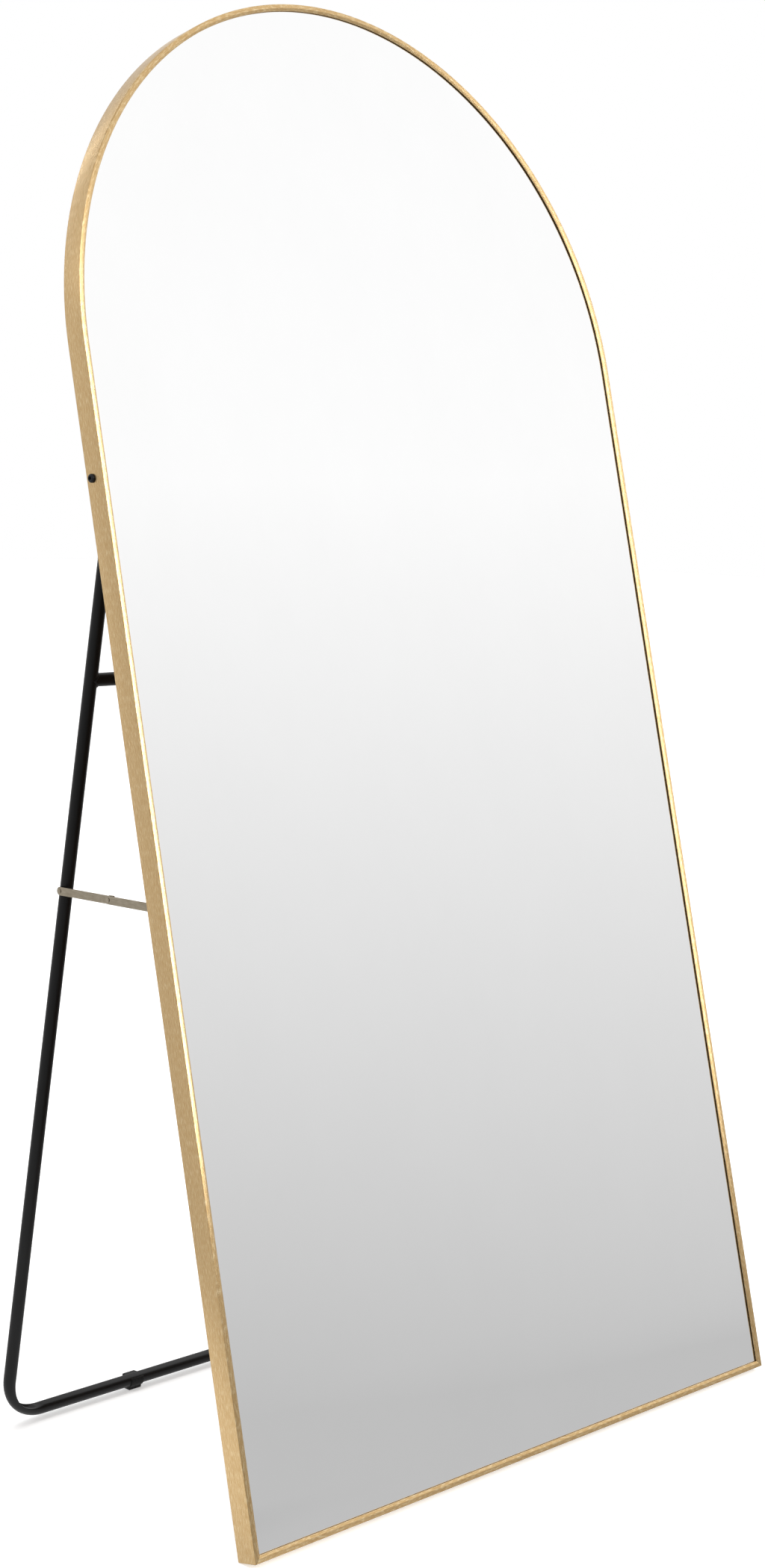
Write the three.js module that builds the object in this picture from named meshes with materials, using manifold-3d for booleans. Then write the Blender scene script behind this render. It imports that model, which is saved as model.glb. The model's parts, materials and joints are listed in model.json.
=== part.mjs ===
// Leaning floor mirror: an arched mirror in a slim brushed-aluminium frame, held up by a fold-out stand.
// Millimetres, +Z up, +X to the right of somebody who looks into the mirror, +Y towards the stand behind.

import * as THREE from 'three';
import { mergeVertices } from 'three/addons/utils/BufferGeometryUtils.js';
import Module from 'manifold-3d';

const wasm = await Module();
wasm.setup();

// Clearance between neighbouring pieces.
const GAP = 0.3;

// Frame: a rounded arch on straight sides, seen from the front.
const FRAME_WIDTH = 914.4;
const FRAME_HEIGHT = 1828.8;
const FRAME_DEPTH = 30;
const ARCH_SEGMENTS = 60;
const HALF_WIDTH = FRAME_WIDTH / 2;
const SPRING_HEIGHT = FRAME_HEIGHT - HALF_WIDTH;

// Frame section: a front lip with an inner bevel, a slot for the glass, and a channel open inwards.
const WALL = 1.6;
const EDGE_BREAK = 0.8;
const LIP_FLAT = 5.2;
const LIP_WIDTH = 8.2;
const LIP_THICKNESS = 2.5;
const LIP_BEVEL = 1.4;
const SLOT_FLANGE = 1.2;
const REAR_FLANGE = 1.4;
const RETURN_THICKNESS = 1.2;
const RETURN_HEIGHT = 1.8;
const MITRE_GAP = 0.22;

// Mirror pack in the slot.
const GLASS_THICKNESS = 4;
const BOARD_THICKNESS = 2.4;
const PACK_INSET = WALL + 0.6;
const GLASS_FRONT = LIP_THICKNESS + GAP;
const BOARD_FRONT = GLASS_FRONT + GLASS_THICKNESS + GAP;
const SLOT_BACK = BOARD_FRONT + BOARD_THICKNESS + GAP;
const CHANNEL_FRONT = SLOT_BACK + SLOT_FLANGE;
const CHANNEL_BACK = FRAME_DEPTH - REAR_FLANGE;
const CHANNEL_MIDDLE = (CHANNEL_FRONT + CHANNEL_BACK) / 2;

// How the mirror stands: it leans back by LEAN, and the stand opens by LEG_ANGLE from the mirror's plane.
const LEAN = THREE.MathUtils.degToRad(14);
const LEG_ANGLE = THREE.MathUtils.degToRad(23.25);
const PIVOT_BELOW_ARCH = 154.9;
const PIVOT_HEIGHT = SPRING_HEIGHT - PIVOT_BELOW_ARCH;
const PIVOT_DEPTH = CHANNEL_MIDDLE;

// Stand: one tube bent to a U, with a second tube welded across it.
const TUBE_RADIUS = 8;
const TUBE_WALL = 1.2;
const TUBE_SIDES = 24;
const LEG_INSET = 31.2;
const LEG_X = HALF_WIDTH - LEG_INSET;
const LEG_END_RADIUS = 9;
const BEND_RADIUS = 55;
const BEND_SEGMENTS = 12;
const PINCH_RADIUS = 40.5;
const PINCH_OFFSET = 13;
const CROSS_TUBE_DROP = 237;

// Pivot bolts.
const BOLT_RADIUS = 2.95;
const BOLT_HOLE = 3.3;
const BOLT_HEAD_RADIUS = 5.25;
const BOLT_HEAD_HEIGHT = 3.3;
const BOLT_LENGTH = 50;
const SOCKET_ACROSS_FLATS = 4;
const SOCKET_DEPTH = 2;
const SPACER_RADIUS = 6;
const WASHER_RADIUS = 6;
const WASHER_THICKNESS = 1.6;
const NUT_ACROSS_FLATS = 10;
const NUT_HEX_HEIGHT = 4.6;
const NUT_COLLAR_HEIGHT = 1.4;
const NUT_COLLAR_RADIUS = 4.3;

// Folding stays: two equal flat links on each side, straight when the stand is open.
const STAY_DROP = 493.8;
const STAY_SLOPE = THREE.MathUtils.degToRad(12.2);
const LINK_WIDTH = 10;
const LINK_THICKNESS = 1;
const LUG_START = 1.4;
const LUG_END = 9.8;
const LUG_THICKNESS = 0.7;
const RIVET_RADIUS = 1.9;
const RIVET_HOLE = 2.2;
const RIVET_HEAD_RADIUS = 2.7;
const RIVET_HEAD_HEIGHT = 0.9;
const RIVET_TAIL_HEIGHT = 0.6;
const STAY_WASHER_RADIUS = 4.5;
const STAY_WASHER_THICKNESS = 0.7;

// Brackets that hold the stays to the back of the frame.
const BRACKET_THICKNESS = 1.5;
const BRACKET_HALF_HEIGHT = 21;
const BRACKET_LOBE = 6.5;
const BRACKET_PIVOT_BEHIND = 1.95;
const EAR_START = 9;
const EAR_INSET = 2.2;
const EAR_SCREW_HEIGHT = 15;
const EAR_SCREW_INSET = 5;
const SCREW_RADIUS = 1.5;
const SCREW_HOLE = 1.8;
const SCREW_HEAD_RADIUS = 2.6;
const SCREW_HEAD_HEIGHT = 1.8;
const SCREW_LENGTH = 8;

// Corner keys: steel angle plates in the channel at the bottom corners.
const KEY_THICKNESS = 2.5;
const KEY_ARM = 45;
const KEY_SCREW_AT = 30;
const SET_SCREW_RADIUS = 2;
const SET_SCREW_HOLE = 2.3;
const SET_SCREW_LENGTH = 5.6;
const SET_SCREW_SOCKET = 2;

// Anti-slip clips of black plastic.
const CLIP_X = 222;
const CLIP_WIDTH = 20;
const CLIP_WALL = 1.3;
const CLIP_SOLE_DROP = 12.75;
const CLIP_BACK = 12;
const CLIP_SOLE_FRONT = -3.5;
const CLIP_REAR_HEIGHT = 6;
const CLIP_JAW_TIP = THREE.MathUtils.degToRad(151 - 360);
const CLIP_GROOVES = 7;
const CLIP_RIB_PITCH = 2.5;
const CLIP_GROOVE_WIDTH = 0.8;
const CLIP_GROOVE_DEPTH = 0.5;

// The mirror turns up about its rear lower edge, so leaning lifts its own zero line.
const REST_LIFT = (FRAME_DEPTH - EDGE_BREAK) * Math.sin(LEAN);

// The legs reach from the pivots down to the clips, whose soles are on the floor.
const PIVOT_RISE = PIVOT_HEIGHT * Math.cos(LEAN) - PIVOT_DEPTH * Math.sin(LEAN) + REST_LIFT;
const STAND_LENGTH = (PIVOT_RISE - CLIP_SOLE_DROP) / Math.cos(LEG_ANGLE - LEAN);

// The stays reach from the legs to the brackets.
const STAY_ON_LEG = new THREE.Vector2(
  PIVOT_DEPTH + STAY_DROP * Math.sin(LEG_ANGLE),
  PIVOT_HEIGHT - STAY_DROP * Math.cos(LEG_ANGLE),
);
const STAY_FRAME_DEPTH = FRAME_DEPTH + BRACKET_PIVOT_BEHIND;
const STAY_ARM = (STAY_ON_LEG.x - STAY_FRAME_DEPTH) / (2 * Math.cos(STAY_SLOPE));
const STAY_MIDDLE = new THREE.Vector2(
  STAY_ON_LEG.x - STAY_ARM * Math.cos(STAY_SLOPE),
  STAY_ON_LEG.y - STAY_ARM * Math.sin(STAY_SLOPE),
);
const STAY_ON_FRAME = new THREE.Vector2(
  STAY_FRAME_DEPTH,
  STAY_ON_LEG.y - 2 * STAY_ARM * Math.sin(STAY_SLOPE),
);

// Faces across the width, on the left side of the mirror.
const WALL_OUTSIDE = -HALF_WIDTH;
const WALL_INSIDE = WALL_OUTSIDE + WALL;
const TUBE_OUTSIDE = -LEG_X - TUBE_RADIUS;
const TUBE_INSIDE = -LEG_X + TUBE_RADIUS;
const STAY_WASHER_FACE = TUBE_OUTSIDE - GAP;
const LEG_LINK_FACE = STAY_WASHER_FACE - STAY_WASHER_THICKNESS - GAP;
const FRAME_LINK_FACE = LEG_LINK_FACE - LINK_THICKNESS - GAP;
const BRACKET_FACE = FRAME_LINK_FACE - LINK_THICKNESS - GAP;
const WASHER_FACE = TUBE_INSIDE + GAP;
const NUT_FACE = WASHER_FACE + WASHER_THICKNESS + GAP;

// Turns a closed geometry into a solid that can be cut and joined.
function toSolid(geometry) {
  const bare = geometry.clone();
  bare.deleteAttribute('normal');
  bare.deleteAttribute('uv');
  const merged = mergeVertices(bare);
  const corners = merged.index.array;
  const kept = [];
  for (let i = 0; i < corners.length; i += 3) {
    const [a, b, c] = corners.slice(i, i + 3);
    if (a !== b && b !== c && c !== a) {
      kept.push(a, b, c);
    }
  }
  const vertProperties = new Float32Array(merged.attributes.position.array);
  const triVerts = new Uint32Array(kept);
  return new wasm.Manifold(new wasm.Mesh({ numProp: 3, vertProperties, triVerts }));
}

function toGeometry(solid) {
  const mesh = solid.getMesh();
  const geometry = new THREE.BufferGeometry();
  geometry.setAttribute('position', new THREE.BufferAttribute(mesh.vertProperties, 3));
  geometry.setIndex(new THREE.BufferAttribute(mesh.triVerts, 1));
  geometry.computeVertexNormals();
  return geometry;
}

function cut(base, ...tools) {
  let solid = toSolid(base);
  for (const tool of tools) {
    solid = solid.subtract(toSolid(tool));
  }
  return toGeometry(solid);
}

function join(base, ...extras) {
  let solid = toSolid(base);
  for (const extra of extras) {
    solid = solid.add(toSolid(extra));
  }
  return toGeometry(solid);
}

function shapeOf(points) {
  return new THREE.Shape(points.map(([x, y]) => new THREE.Vector2(x, y)));
}

function circleHole(x, y, radius) {
  return new THREE.Path().absarc(x, y, radius, 0, Math.PI * 2, true);
}

// Sweeps a section along stations, each with an origin and the directions of the section's two axes.
function sweep(section, stations) {
  const depth = stations.length - 1;
  const geometry = new THREE.ExtrudeGeometry(section, { depth, steps: depth, bevelEnabled: false });
  const position = geometry.attributes.position;
  for (let i = 0; i < position.count; i += 1) {
    const { origin, across, back } = stations[Math.round(position.getZ(i))];
    const point = origin.clone();
    point.addScaledVector(across, position.getX(i));
    point.addScaledVector(back, position.getY(i));
    position.setXYZ(i, point.x, point.y, point.z);
  }
  return geometry;
}

// A plate cut to a shape drawn in Y and Z, from x = from to x = to.
function plateAlongX(shape, from, to, curveSegments = 12) {
  const geometry = new THREE.ExtrudeGeometry(shape, { depth: to - from, bevelEnabled: false, curveSegments });
  const turn = new THREE.Matrix4().set(0, 0, 1, from, 1, 0, 0, 0, 0, 1, 0, 0, 0, 0, 0, 1);
  return geometry.applyMatrix4(turn);
}

// A slab cut to a shape drawn in X and Z, from y = from to y = to.
function slabAlongY(shape, from, to, curveSegments = 12) {
  const geometry = new THREE.ExtrudeGeometry(shape, { depth: to - from, bevelEnabled: false, curveSegments });
  return geometry.rotateX(Math.PI / 2).translate(0, to, 0);
}

function box(low, high) {
  const size = high.map((value, axis) => value - low[axis]);
  const middle = high.map((value, axis) => (value + low[axis]) / 2);
  return new THREE.BoxGeometry(...size).translate(...middle);
}

// A round bar along X.
function rodAlongX(radius, from, to, y, z, sides = 24) {
  const geometry = new THREE.CylinderGeometry(radius, radius, to - from, sides);
  return geometry.rotateZ(Math.PI / 2).translate((from + to) / 2, y, z);
}

// A round bar along Y.
function rodAlongY(radius, from, to, x, z, sides = 24) {
  return new THREE.CylinderGeometry(radius, radius, to - from, sides).translate(x, (from + to) / 2, z);
}

// Turned pieces: profile points are [radius, distance along the axis].
function turnedAlongX(profile, sides = 24) {
  const points = profile.map(([radius, along]) => new THREE.Vector2(radius, along));
  return new THREE.LatheGeometry(points, sides).rotateZ(-Math.PI / 2);
}

function turnedAlongY(profile, sides = 24) {
  const points = profile.map(([radius, along]) => new THREE.Vector2(radius, along));
  return new THREE.LatheGeometry(points, sides);
}

function ring(inner, outer, from, to) {
  return [[inner, from], [outer, from], [outer, to], [inner, to], [inner, from]];
}

// The same piece on the other side of the mirror.
function mirrored(geometry) {
  const copy = geometry.clone().applyMatrix4(new THREE.Matrix4().makeScale(-1, 1, 1));
  const corners = copy.index ? copy.index.array : [...Array(copy.attributes.position.count).keys()];
  const flipped = [];
  for (let i = 0; i < corners.length; i += 3) {
    flipped.push(corners[i], corners[i + 2], corners[i + 1]);
  }
  copy.setIndex(flipped);
  return copy;
}

function material(color, roughness, metalness) {
  return new THREE.MeshStandardMaterial({ color, roughness, metalness });
}

const GOLD = material(0xc4a676, 0.42, 0.9);
const SILVERED = material(0xe9eaea, 0.03, 1);
const BOARD = material(0x6f5d47, 0.85, 0);
const BLACK_TUBE = material(0x2b2b2c, 0.55, 0.3);
const BLACK_SCREW = material(0x1c1c1d, 0.45, 0.6);
const NICKEL = material(0x9a9182, 0.38, 0.9);
const ZINC = material(0xa7a9ab, 0.4, 0.9);
const BLACK_PLASTIC = material(0x1f1f20, 0.6, 0);

function piece(group, name, geometry, surface) {
  const mesh = new THREE.Mesh(geometry, surface.clone());
  mesh.name = name;
  group.add(mesh);
  return mesh;
}

// A piece modelled on the left side, with its twin on the right.
function pair(group, name, geometry, surface) {
  piece(group, `${name}_left`, geometry, surface);
  piece(group, `${name}_right`, mirrored(geometry), surface);
}

// Frame section: x runs inwards from the outer face, y runs back from the front.
function frameSection() {
  const soft = EDGE_BREAK * 0.3;
  const returnStart = LIP_WIDTH - RETURN_THICKNESS;
  return shapeOf([
    [0, EDGE_BREAK],
    [soft, soft],
    [EDGE_BREAK, 0],
    [LIP_FLAT, 0],
    [LIP_WIDTH, LIP_BEVEL],
    [LIP_WIDTH, LIP_THICKNESS],
    [WALL, LIP_THICKNESS],
    [WALL, SLOT_BACK],
    [LIP_WIDTH, SLOT_BACK],
    [LIP_WIDTH, CHANNEL_FRONT + RETURN_HEIGHT],
    [returnStart, CHANNEL_FRONT + RETURN_HEIGHT],
    [returnStart, CHANNEL_FRONT],
    [WALL, CHANNEL_FRONT],
    [WALL, CHANNEL_BACK],
    [returnStart, CHANNEL_BACK],
    [returnStart, CHANNEL_BACK - RETURN_HEIGHT],
    [LIP_WIDTH, CHANNEL_BACK - RETURN_HEIGHT],
    [LIP_WIDTH, FRAME_DEPTH],
    [EDGE_BREAK, FRAME_DEPTH],
    [soft, FRAME_DEPTH - soft],
    [0, FRAME_DEPTH - EDGE_BREAK],
  ]);
}

// One bent rail makes the left side, the arch and the right side. Its feet are mitred.
function archRail() {
  const back = new THREE.Vector3(0, 1, 0);
  const stations = [];
  stations.push({
    origin: new THREE.Vector3(-HALF_WIDTH, 0, MITRE_GAP),
    across: new THREE.Vector3(1, 0, 1),
    back,
  });
  for (let i = 0; i <= ARCH_SEGMENTS; i += 1) {
    const turn = Math.PI * (1 - i / ARCH_SEGMENTS);
    const outward = new THREE.Vector3(Math.cos(turn), 0, Math.sin(turn));
    const origin = outward.clone().multiplyScalar(HALF_WIDTH);
    origin.z += SPRING_HEIGHT;
    stations.push({ origin, across: outward.clone().negate(), back });
  }
  stations.push({
    origin: new THREE.Vector3(HALF_WIDTH, 0, MITRE_GAP),
    across: new THREE.Vector3(-1, 0, 1),
    back,
  });
  const rail = sweep(frameSection(), stations);
  const holes = [];
  for (const side of [-1, 1]) {
    const outside = side * (HALF_WIDTH + 1);
    const inside = side * (HALF_WIDTH - WALL - 1);
    const from = Math.min(outside, inside);
    const to = Math.max(outside, inside);
    holes.push(rodAlongX(BOLT_HOLE, from, to, PIVOT_DEPTH, PIVOT_HEIGHT));
    for (const step of [-1, 1]) {
      const x = side * (HALF_WIDTH - EAR_SCREW_INSET);
      const z = STAY_ON_FRAME.y + step * EAR_SCREW_HEIGHT;
      holes.push(rodAlongY(SCREW_HOLE, CHANNEL_BACK - 1, FRAME_DEPTH + 1, x, z, 12));
    }
  }
  return cut(rail, ...holes);
}

// The bottom rail is a separate length, mitred at both ends.
function bottomRail() {
  const back = new THREE.Vector3(0, 1, 0);
  return sweep(frameSection(), [
    { origin: new THREE.Vector3(HALF_WIDTH - MITRE_GAP, 0, 0), across: new THREE.Vector3(-1, 0, 1), back },
    { origin: new THREE.Vector3(-HALF_WIDTH + MITRE_GAP, 0, 0), across: new THREE.Vector3(1, 0, 1), back },
  ]);
}

// The arched outline, set in from the frame's outer face.
function archedOutline(inset) {
  const half = HALF_WIDTH - inset;
  const outline = new THREE.Shape();
  outline.moveTo(-half, inset);
  outline.lineTo(half, inset);
  outline.lineTo(half, SPRING_HEIGHT);
  outline.absarc(0, SPRING_HEIGHT, half, 0, Math.PI, false);
  outline.lineTo(-half, inset);
  return outline;
}

function cornerKey() {
  const near = WALL + GAP;
  const far = near + KEY_THICKNESS;
  const x = WALL_OUTSIDE;
  const angle = shapeOf([
    [x + near, near],
    [x + near + KEY_ARM, near],
    [x + near + KEY_ARM, far],
    [x + far, far],
    [x + far, near + KEY_ARM],
    [x + near, near + KEY_ARM],
  ]);
  const plate = slabAlongY(angle, CHANNEL_FRONT + GAP, CHANNEL_BACK - GAP);
  const sideHole = rodAlongX(SET_SCREW_HOLE, x + near - 1, x + far + 1, CHANNEL_MIDDLE, KEY_SCREW_AT, 12);
  const upHole = new THREE.CylinderGeometry(SET_SCREW_HOLE, SET_SCREW_HOLE, KEY_THICKNESS + 2, 12);
  upHole.rotateX(Math.PI / 2).translate(x + KEY_SCREW_AT, CHANNEL_MIDDLE, (near + far) / 2);
  return cut(plate, sideHole, upHole);
}

function setScrew() {
  const from = WALL + GAP;
  const to = from + SET_SCREW_LENGTH;
  const body = turnedAlongX([
    [0, from],
    [SET_SCREW_RADIUS - 0.6, from],
    [SET_SCREW_RADIUS, from + 0.6],
    [SET_SCREW_RADIUS, to - 0.3],
    [SET_SCREW_RADIUS - 0.3, to],
    [0, to],
  ], 12);
  return cut(body, rodAlongX(SET_SCREW_SOCKET / Math.sqrt(3), to - 2, to + 1, 0, 0, 6));
}

function pivotBolt() {
  const seat = WALL_OUTSIDE - GAP;
  const top = seat - BOLT_HEAD_HEIGHT;
  const end = WALL_OUTSIDE + BOLT_LENGTH;
  const head = BOLT_HEAD_RADIUS;
  const bolt = turnedAlongX([
    [0, top],
    [head * 0.5, top],
    [head * 0.74, top + 0.5],
    [head * 0.9, top + 1.3],
    [head, top + 2.6],
    [head, seat],
    [BOLT_RADIUS, seat],
    [BOLT_RADIUS, end - 0.7],
    [BOLT_RADIUS - 0.7, end],
    [0, end],
  ]);
  const socket = rodAlongX(SOCKET_ACROSS_FLATS / Math.sqrt(3), top - 1, top + SOCKET_DEPTH, 0, 0, 6);
  return cut(bolt, socket);
}

function pivotNut() {
  const hex = new THREE.Shape();
  for (let i = 0; i < 6; i += 1) {
    const turn = (i * Math.PI) / 3;
    const reach = NUT_ACROSS_FLATS / Math.sqrt(3);
    const move = i === 0 ? 'moveTo' : 'lineTo';
    hex[move](reach * Math.cos(turn), reach * Math.sin(turn));
  }
  hex.closePath();
  hex.holes.push(circleHole(0, 0, BOLT_HOLE));
  const body = plateAlongX(hex, NUT_FACE, NUT_FACE + NUT_HEX_HEIGHT);
  const from = NUT_FACE + NUT_HEX_HEIGHT - 0.5;
  const to = NUT_FACE + NUT_HEX_HEIGHT + NUT_COLLAR_HEIGHT;
  return join(body, turnedAlongX(ring(BOLT_HOLE + 0.05, NUT_COLLAR_RADIUS, from, to)));
}

function tubeSection(radius) {
  const points = [];
  for (let i = 0; i < TUBE_SIDES; i += 1) {
    const turn = (i * 2 * Math.PI) / TUBE_SIDES;
    points.push([radius * Math.cos(turn), radius * Math.sin(turn)]);
  }
  return shapeOf(points);
}

// Down the left leg, across the floor and up the right leg, in the stand's own plane.
function standStations() {
  const back = new THREE.Vector3(0, 1, 0);
  const stations = [];
  const place = (x, z, turn, reach) => {
    const across = new THREE.Vector3(-Math.cos(turn), 0, -Math.sin(turn));
    const origin = new THREE.Vector3(x, 0, z).addScaledVector(across, reach);
    stations.push({ origin, across, back });
  };
  const bendX = LEG_X - BEND_RADIUS;
  const bendZ = BEND_RADIUS - STAND_LENGTH;
  place(-LEG_X, LEG_END_RADIUS + 1, 0, 0);
  for (let i = 0; i <= BEND_SEGMENTS; i += 1) {
    place(-bendX, bendZ, (i / BEND_SEGMENTS) * (Math.PI / 2), BEND_RADIUS);
  }
  for (let i = 0; i <= BEND_SEGMENTS; i += 1) {
    place(bendX, bendZ, (1 + i / BEND_SEGMENTS) * (Math.PI / 2), BEND_RADIUS);
  }
  place(LEG_X, LEG_END_RADIUS + 1, Math.PI, 0);
  return stations;
}

// Each bend is pressed flat on its inner side.
function pinchedTube(radius, pinchRadius) {
  const reach = LEG_X - BEND_RADIUS + PINCH_OFFSET / Math.SQRT2;
  const drop = BEND_RADIUS - STAND_LENGTH - PINCH_OFFSET / Math.SQRT2;
  const tube = sweep(tubeSection(radius), standStations());
  const left = rodAlongY(pinchRadius, -2 * TUBE_RADIUS, 2 * TUBE_RADIUS, -reach, drop, 64);
  const right = rodAlongY(pinchRadius, -2 * TUBE_RADIUS, 2 * TUBE_RADIUS, reach, drop, 64);
  return cut(tube, left, right);
}

// What is trimmed off above the pivot, so that a leg's end clears the board while it turns.
function legEndTrim(radius) {
  const tall = 2 * LEG_END_RADIUS;
  const outline = shapeOf([[radius, 0], [tall, 0], [tall, tall], [-tall, tall], [-tall, 0], [-radius, 0]]);
  outline.absarc(0, 0, radius, Math.PI, 0, true);
  return plateAlongX(outline, -HALF_WIDTH, HALF_WIDTH, 16);
}

function standTube() {
  const outer = pinchedTube(TUBE_RADIUS, PINCH_RADIUS);
  const bore = pinchedTube(TUBE_RADIUS - TUBE_WALL, PINCH_RADIUS + TUBE_WALL);
  const holes = [];
  for (const side of [-1, 1]) {
    const from = side * LEG_X - 12;
    const to = side * LEG_X + 12;
    holes.push(rodAlongX(BOLT_HOLE, from, to, 0, 0));
    const near = Math.min(side * LEG_X, side * (LEG_X + 12));
    holes.push(rodAlongX(RIVET_HOLE, near, near + 12, 0, -STAY_DROP, 12));
  }
  return cut(outer, bore.translate(0, 0, 0.01), legEndTrim(LEG_END_RADIUS), ...holes);
}

// The cross tube's ends are coped to sit on the legs.
function crossTube() {
  const reach = LEG_X - 1.5;
  const tube = rodAlongX(TUBE_RADIUS, -reach, reach, 0, -CROSS_TUBE_DROP);
  const bore = rodAlongX(TUBE_RADIUS - TUBE_WALL, -reach - 1, reach + 1, 0, -CROSS_TUBE_DROP);
  const legs = [];
  for (const side of [-1, 1]) {
    const leg = new THREE.CylinderGeometry(TUBE_RADIUS + GAP, TUBE_RADIUS + GAP, 40, 48);
    legs.push(leg.rotateX(Math.PI / 2).translate(side * LEG_X, 0, -CROSS_TUBE_DROP));
  }
  return cut(tube, bore, ...legs);
}

// A plug closes the rounded end of each leg.
function legEndPlug() {
  const radius = TUBE_RADIUS - TUBE_WALL - GAP;
  const low = BOLT_HOLE + GAP;
  const plug = new THREE.CylinderGeometry(radius, radius, LEG_END_RADIUS, TUBE_SIDES);
  plug.rotateX(Math.PI / 2).translate(-LEG_X, 0, low + LEG_END_RADIUS / 2);
  return cut(plug, legEndTrim(LEG_END_RADIUS - GAP));
}

// A block whose sole lies flat on the floor. Its rear stands behind the crossbar, and a springy jaw with
// fine upright grooves reaches round the bar's front.
function footClip() {
  const inner = TUBE_RADIUS + GAP;
  const outer = inner + CLIP_WALL;
  const sole = -CLIP_SOLE_DROP;
  const rearTurn = Math.asin(CLIP_REAR_HEIGHT / inner);
  const rootTurn = -Math.acos(CLIP_SOLE_FRONT / outer);
  const profile = new THREE.Shape();
  profile.moveTo(CLIP_BACK - EDGE_BREAK, CLIP_REAR_HEIGHT);
  profile.lineTo(CLIP_BACK, CLIP_REAR_HEIGHT - EDGE_BREAK);
  profile.lineTo(CLIP_BACK, sole + EDGE_BREAK);
  profile.lineTo(CLIP_BACK - EDGE_BREAK, sole);
  profile.lineTo(CLIP_SOLE_FRONT + EDGE_BREAK, sole);
  profile.lineTo(CLIP_SOLE_FRONT, sole + EDGE_BREAK);
  profile.absarc(0, 0, outer, rootTurn, CLIP_JAW_TIP, true);
  profile.absarc(0, 0, inner, CLIP_JAW_TIP, rearTurn, false);
  const clip = plateAlongX(profile, -CLIP_WIDTH / 2, CLIP_WIDTH / 2, 20);
  const floor = outer - CLIP_GROOVE_DEPTH;
  const groove = new THREE.Shape();
  groove.absarc(0, 0, outer + 1, rootTurn, CLIP_JAW_TIP + 0.25, true);
  groove.absarc(0, 0, floor, CLIP_JAW_TIP + 0.25, rootTurn, false);
  groove.lineTo(CLIP_SOLE_FRONT + CLIP_GROOVE_DEPTH, floor * Math.sin(rootTurn));
  groove.lineTo(CLIP_SOLE_FRONT + CLIP_GROOVE_DEPTH, sole + 1.5 * EDGE_BREAK);
  groove.lineTo(CLIP_SOLE_FRONT - 1, sole + 1.5 * EDGE_BREAK);
  groove.closePath();
  const grooves = [];
  for (let i = 0; i < CLIP_GROOVES; i += 1) {
    const middle = (i - (CLIP_GROOVES - 1) / 2) * CLIP_RIB_PITCH;
    const half = CLIP_GROOVE_WIDTH / 2;
    grooves.push(plateAlongX(groove, middle - half, middle + half, 10));
  }
  return cut(clip, ...grooves);
}

// A flat link with round ends and a rivet hole in each.
function stayLink() {
  const half = LINK_WIDTH / 2;
  const outline = new THREE.Shape();
  outline.absarc(0, 0, half, Math.PI / 2, (Math.PI * 3) / 2, false);
  outline.absarc(STAY_ARM, 0, half, -Math.PI / 2, Math.PI / 2, false);
  outline.holes.push(circleHole(0, 0, RIVET_HOLE), circleHole(STAY_ARM, 0, RIVET_HOLE));
  return plateAlongX(outline, 0, LINK_THICKNESS, 8);
}

// The leg's link runs on past the middle rivet to a lug, which stops on the frame link's upper edge.
function legLink() {
  const half = LINK_WIDTH / 2;
  const lugTop = -half - GAP - LUG_THICKNESS;
  const outline = new THREE.Shape();
  outline.absarc(0, 0, half, Math.PI / 2, (Math.PI * 3) / 2, false);
  outline.lineTo(STAY_ARM + LUG_START, -half);
  outline.lineTo(STAY_ARM + LUG_START, lugTop);
  outline.lineTo(STAY_ARM + LUG_END, lugTop);
  outline.lineTo(STAY_ARM + LUG_END, 0);
  outline.lineTo(STAY_ARM + half, half);
  outline.closePath();
  outline.holes.push(circleHole(0, 0, RIVET_HOLE), circleHole(STAY_ARM, 0, RIVET_HOLE));
  const plate = plateAlongX(outline, 0, LINK_THICKNESS, 8);
  const reach = -(GAP + LINK_THICKNESS);
  const lug = box(
    [reach, STAY_ARM + LUG_START, lugTop],
    [LINK_THICKNESS / 2, STAY_ARM + LUG_END, lugTop + LUG_THICKNESS],
  );
  return join(plate, lug);
}

// A plate beside the link, with a rounded lobe round its rivet and two ears on the frame's back.
function stayBracket() {
  const { x: y, y: z } = STAY_ON_FRAME;
  const seat = FRAME_DEPTH + GAP;
  const back = seat + BRACKET_THICKNESS;
  const rise = Math.acos((back - y) / BRACKET_LOBE);
  const outline = new THREE.Shape();
  outline.moveTo(back, z + BRACKET_LOBE * Math.sin(rise));
  outline.lineTo(back, z + BRACKET_HALF_HEIGHT);
  outline.lineTo(seat - 2, z + BRACKET_HALF_HEIGHT);
  outline.lineTo(y - BRACKET_LOBE, z + EAR_START);
  outline.lineTo(y - BRACKET_LOBE, z - EAR_START);
  outline.lineTo(seat - 2, z - BRACKET_HALF_HEIGHT);
  outline.lineTo(back, z - BRACKET_HALF_HEIGHT);
  outline.absarc(y, z, BRACKET_LOBE, -rise, rise, false);
  const inside = BRACKET_FACE;
  const outside = BRACKET_FACE - BRACKET_THICKNESS;
  let bracket = plateAlongX(outline, outside, inside, 8);
  for (const step of [-1, 1]) {
    const near = z + step * EAR_START;
    const far = z + step * BRACKET_HALF_HEIGHT;
    const ear = box(
      [WALL_OUTSIDE + EAR_INSET, seat, Math.min(near, far)],
      [outside + 0.2, back, Math.max(near, far)],
    );
    const x = WALL_OUTSIDE + EAR_SCREW_INSET;
    const hole = rodAlongY(SCREW_HOLE, seat - 1, back + 1, x, z + step * EAR_SCREW_HEIGHT, 12);
    bracket = join(bracket, cut(ear, hole));
  }
  return cut(bracket, rodAlongX(RIVET_HOLE, outside - 1, inside + 1, y, z, 16));
}

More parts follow.
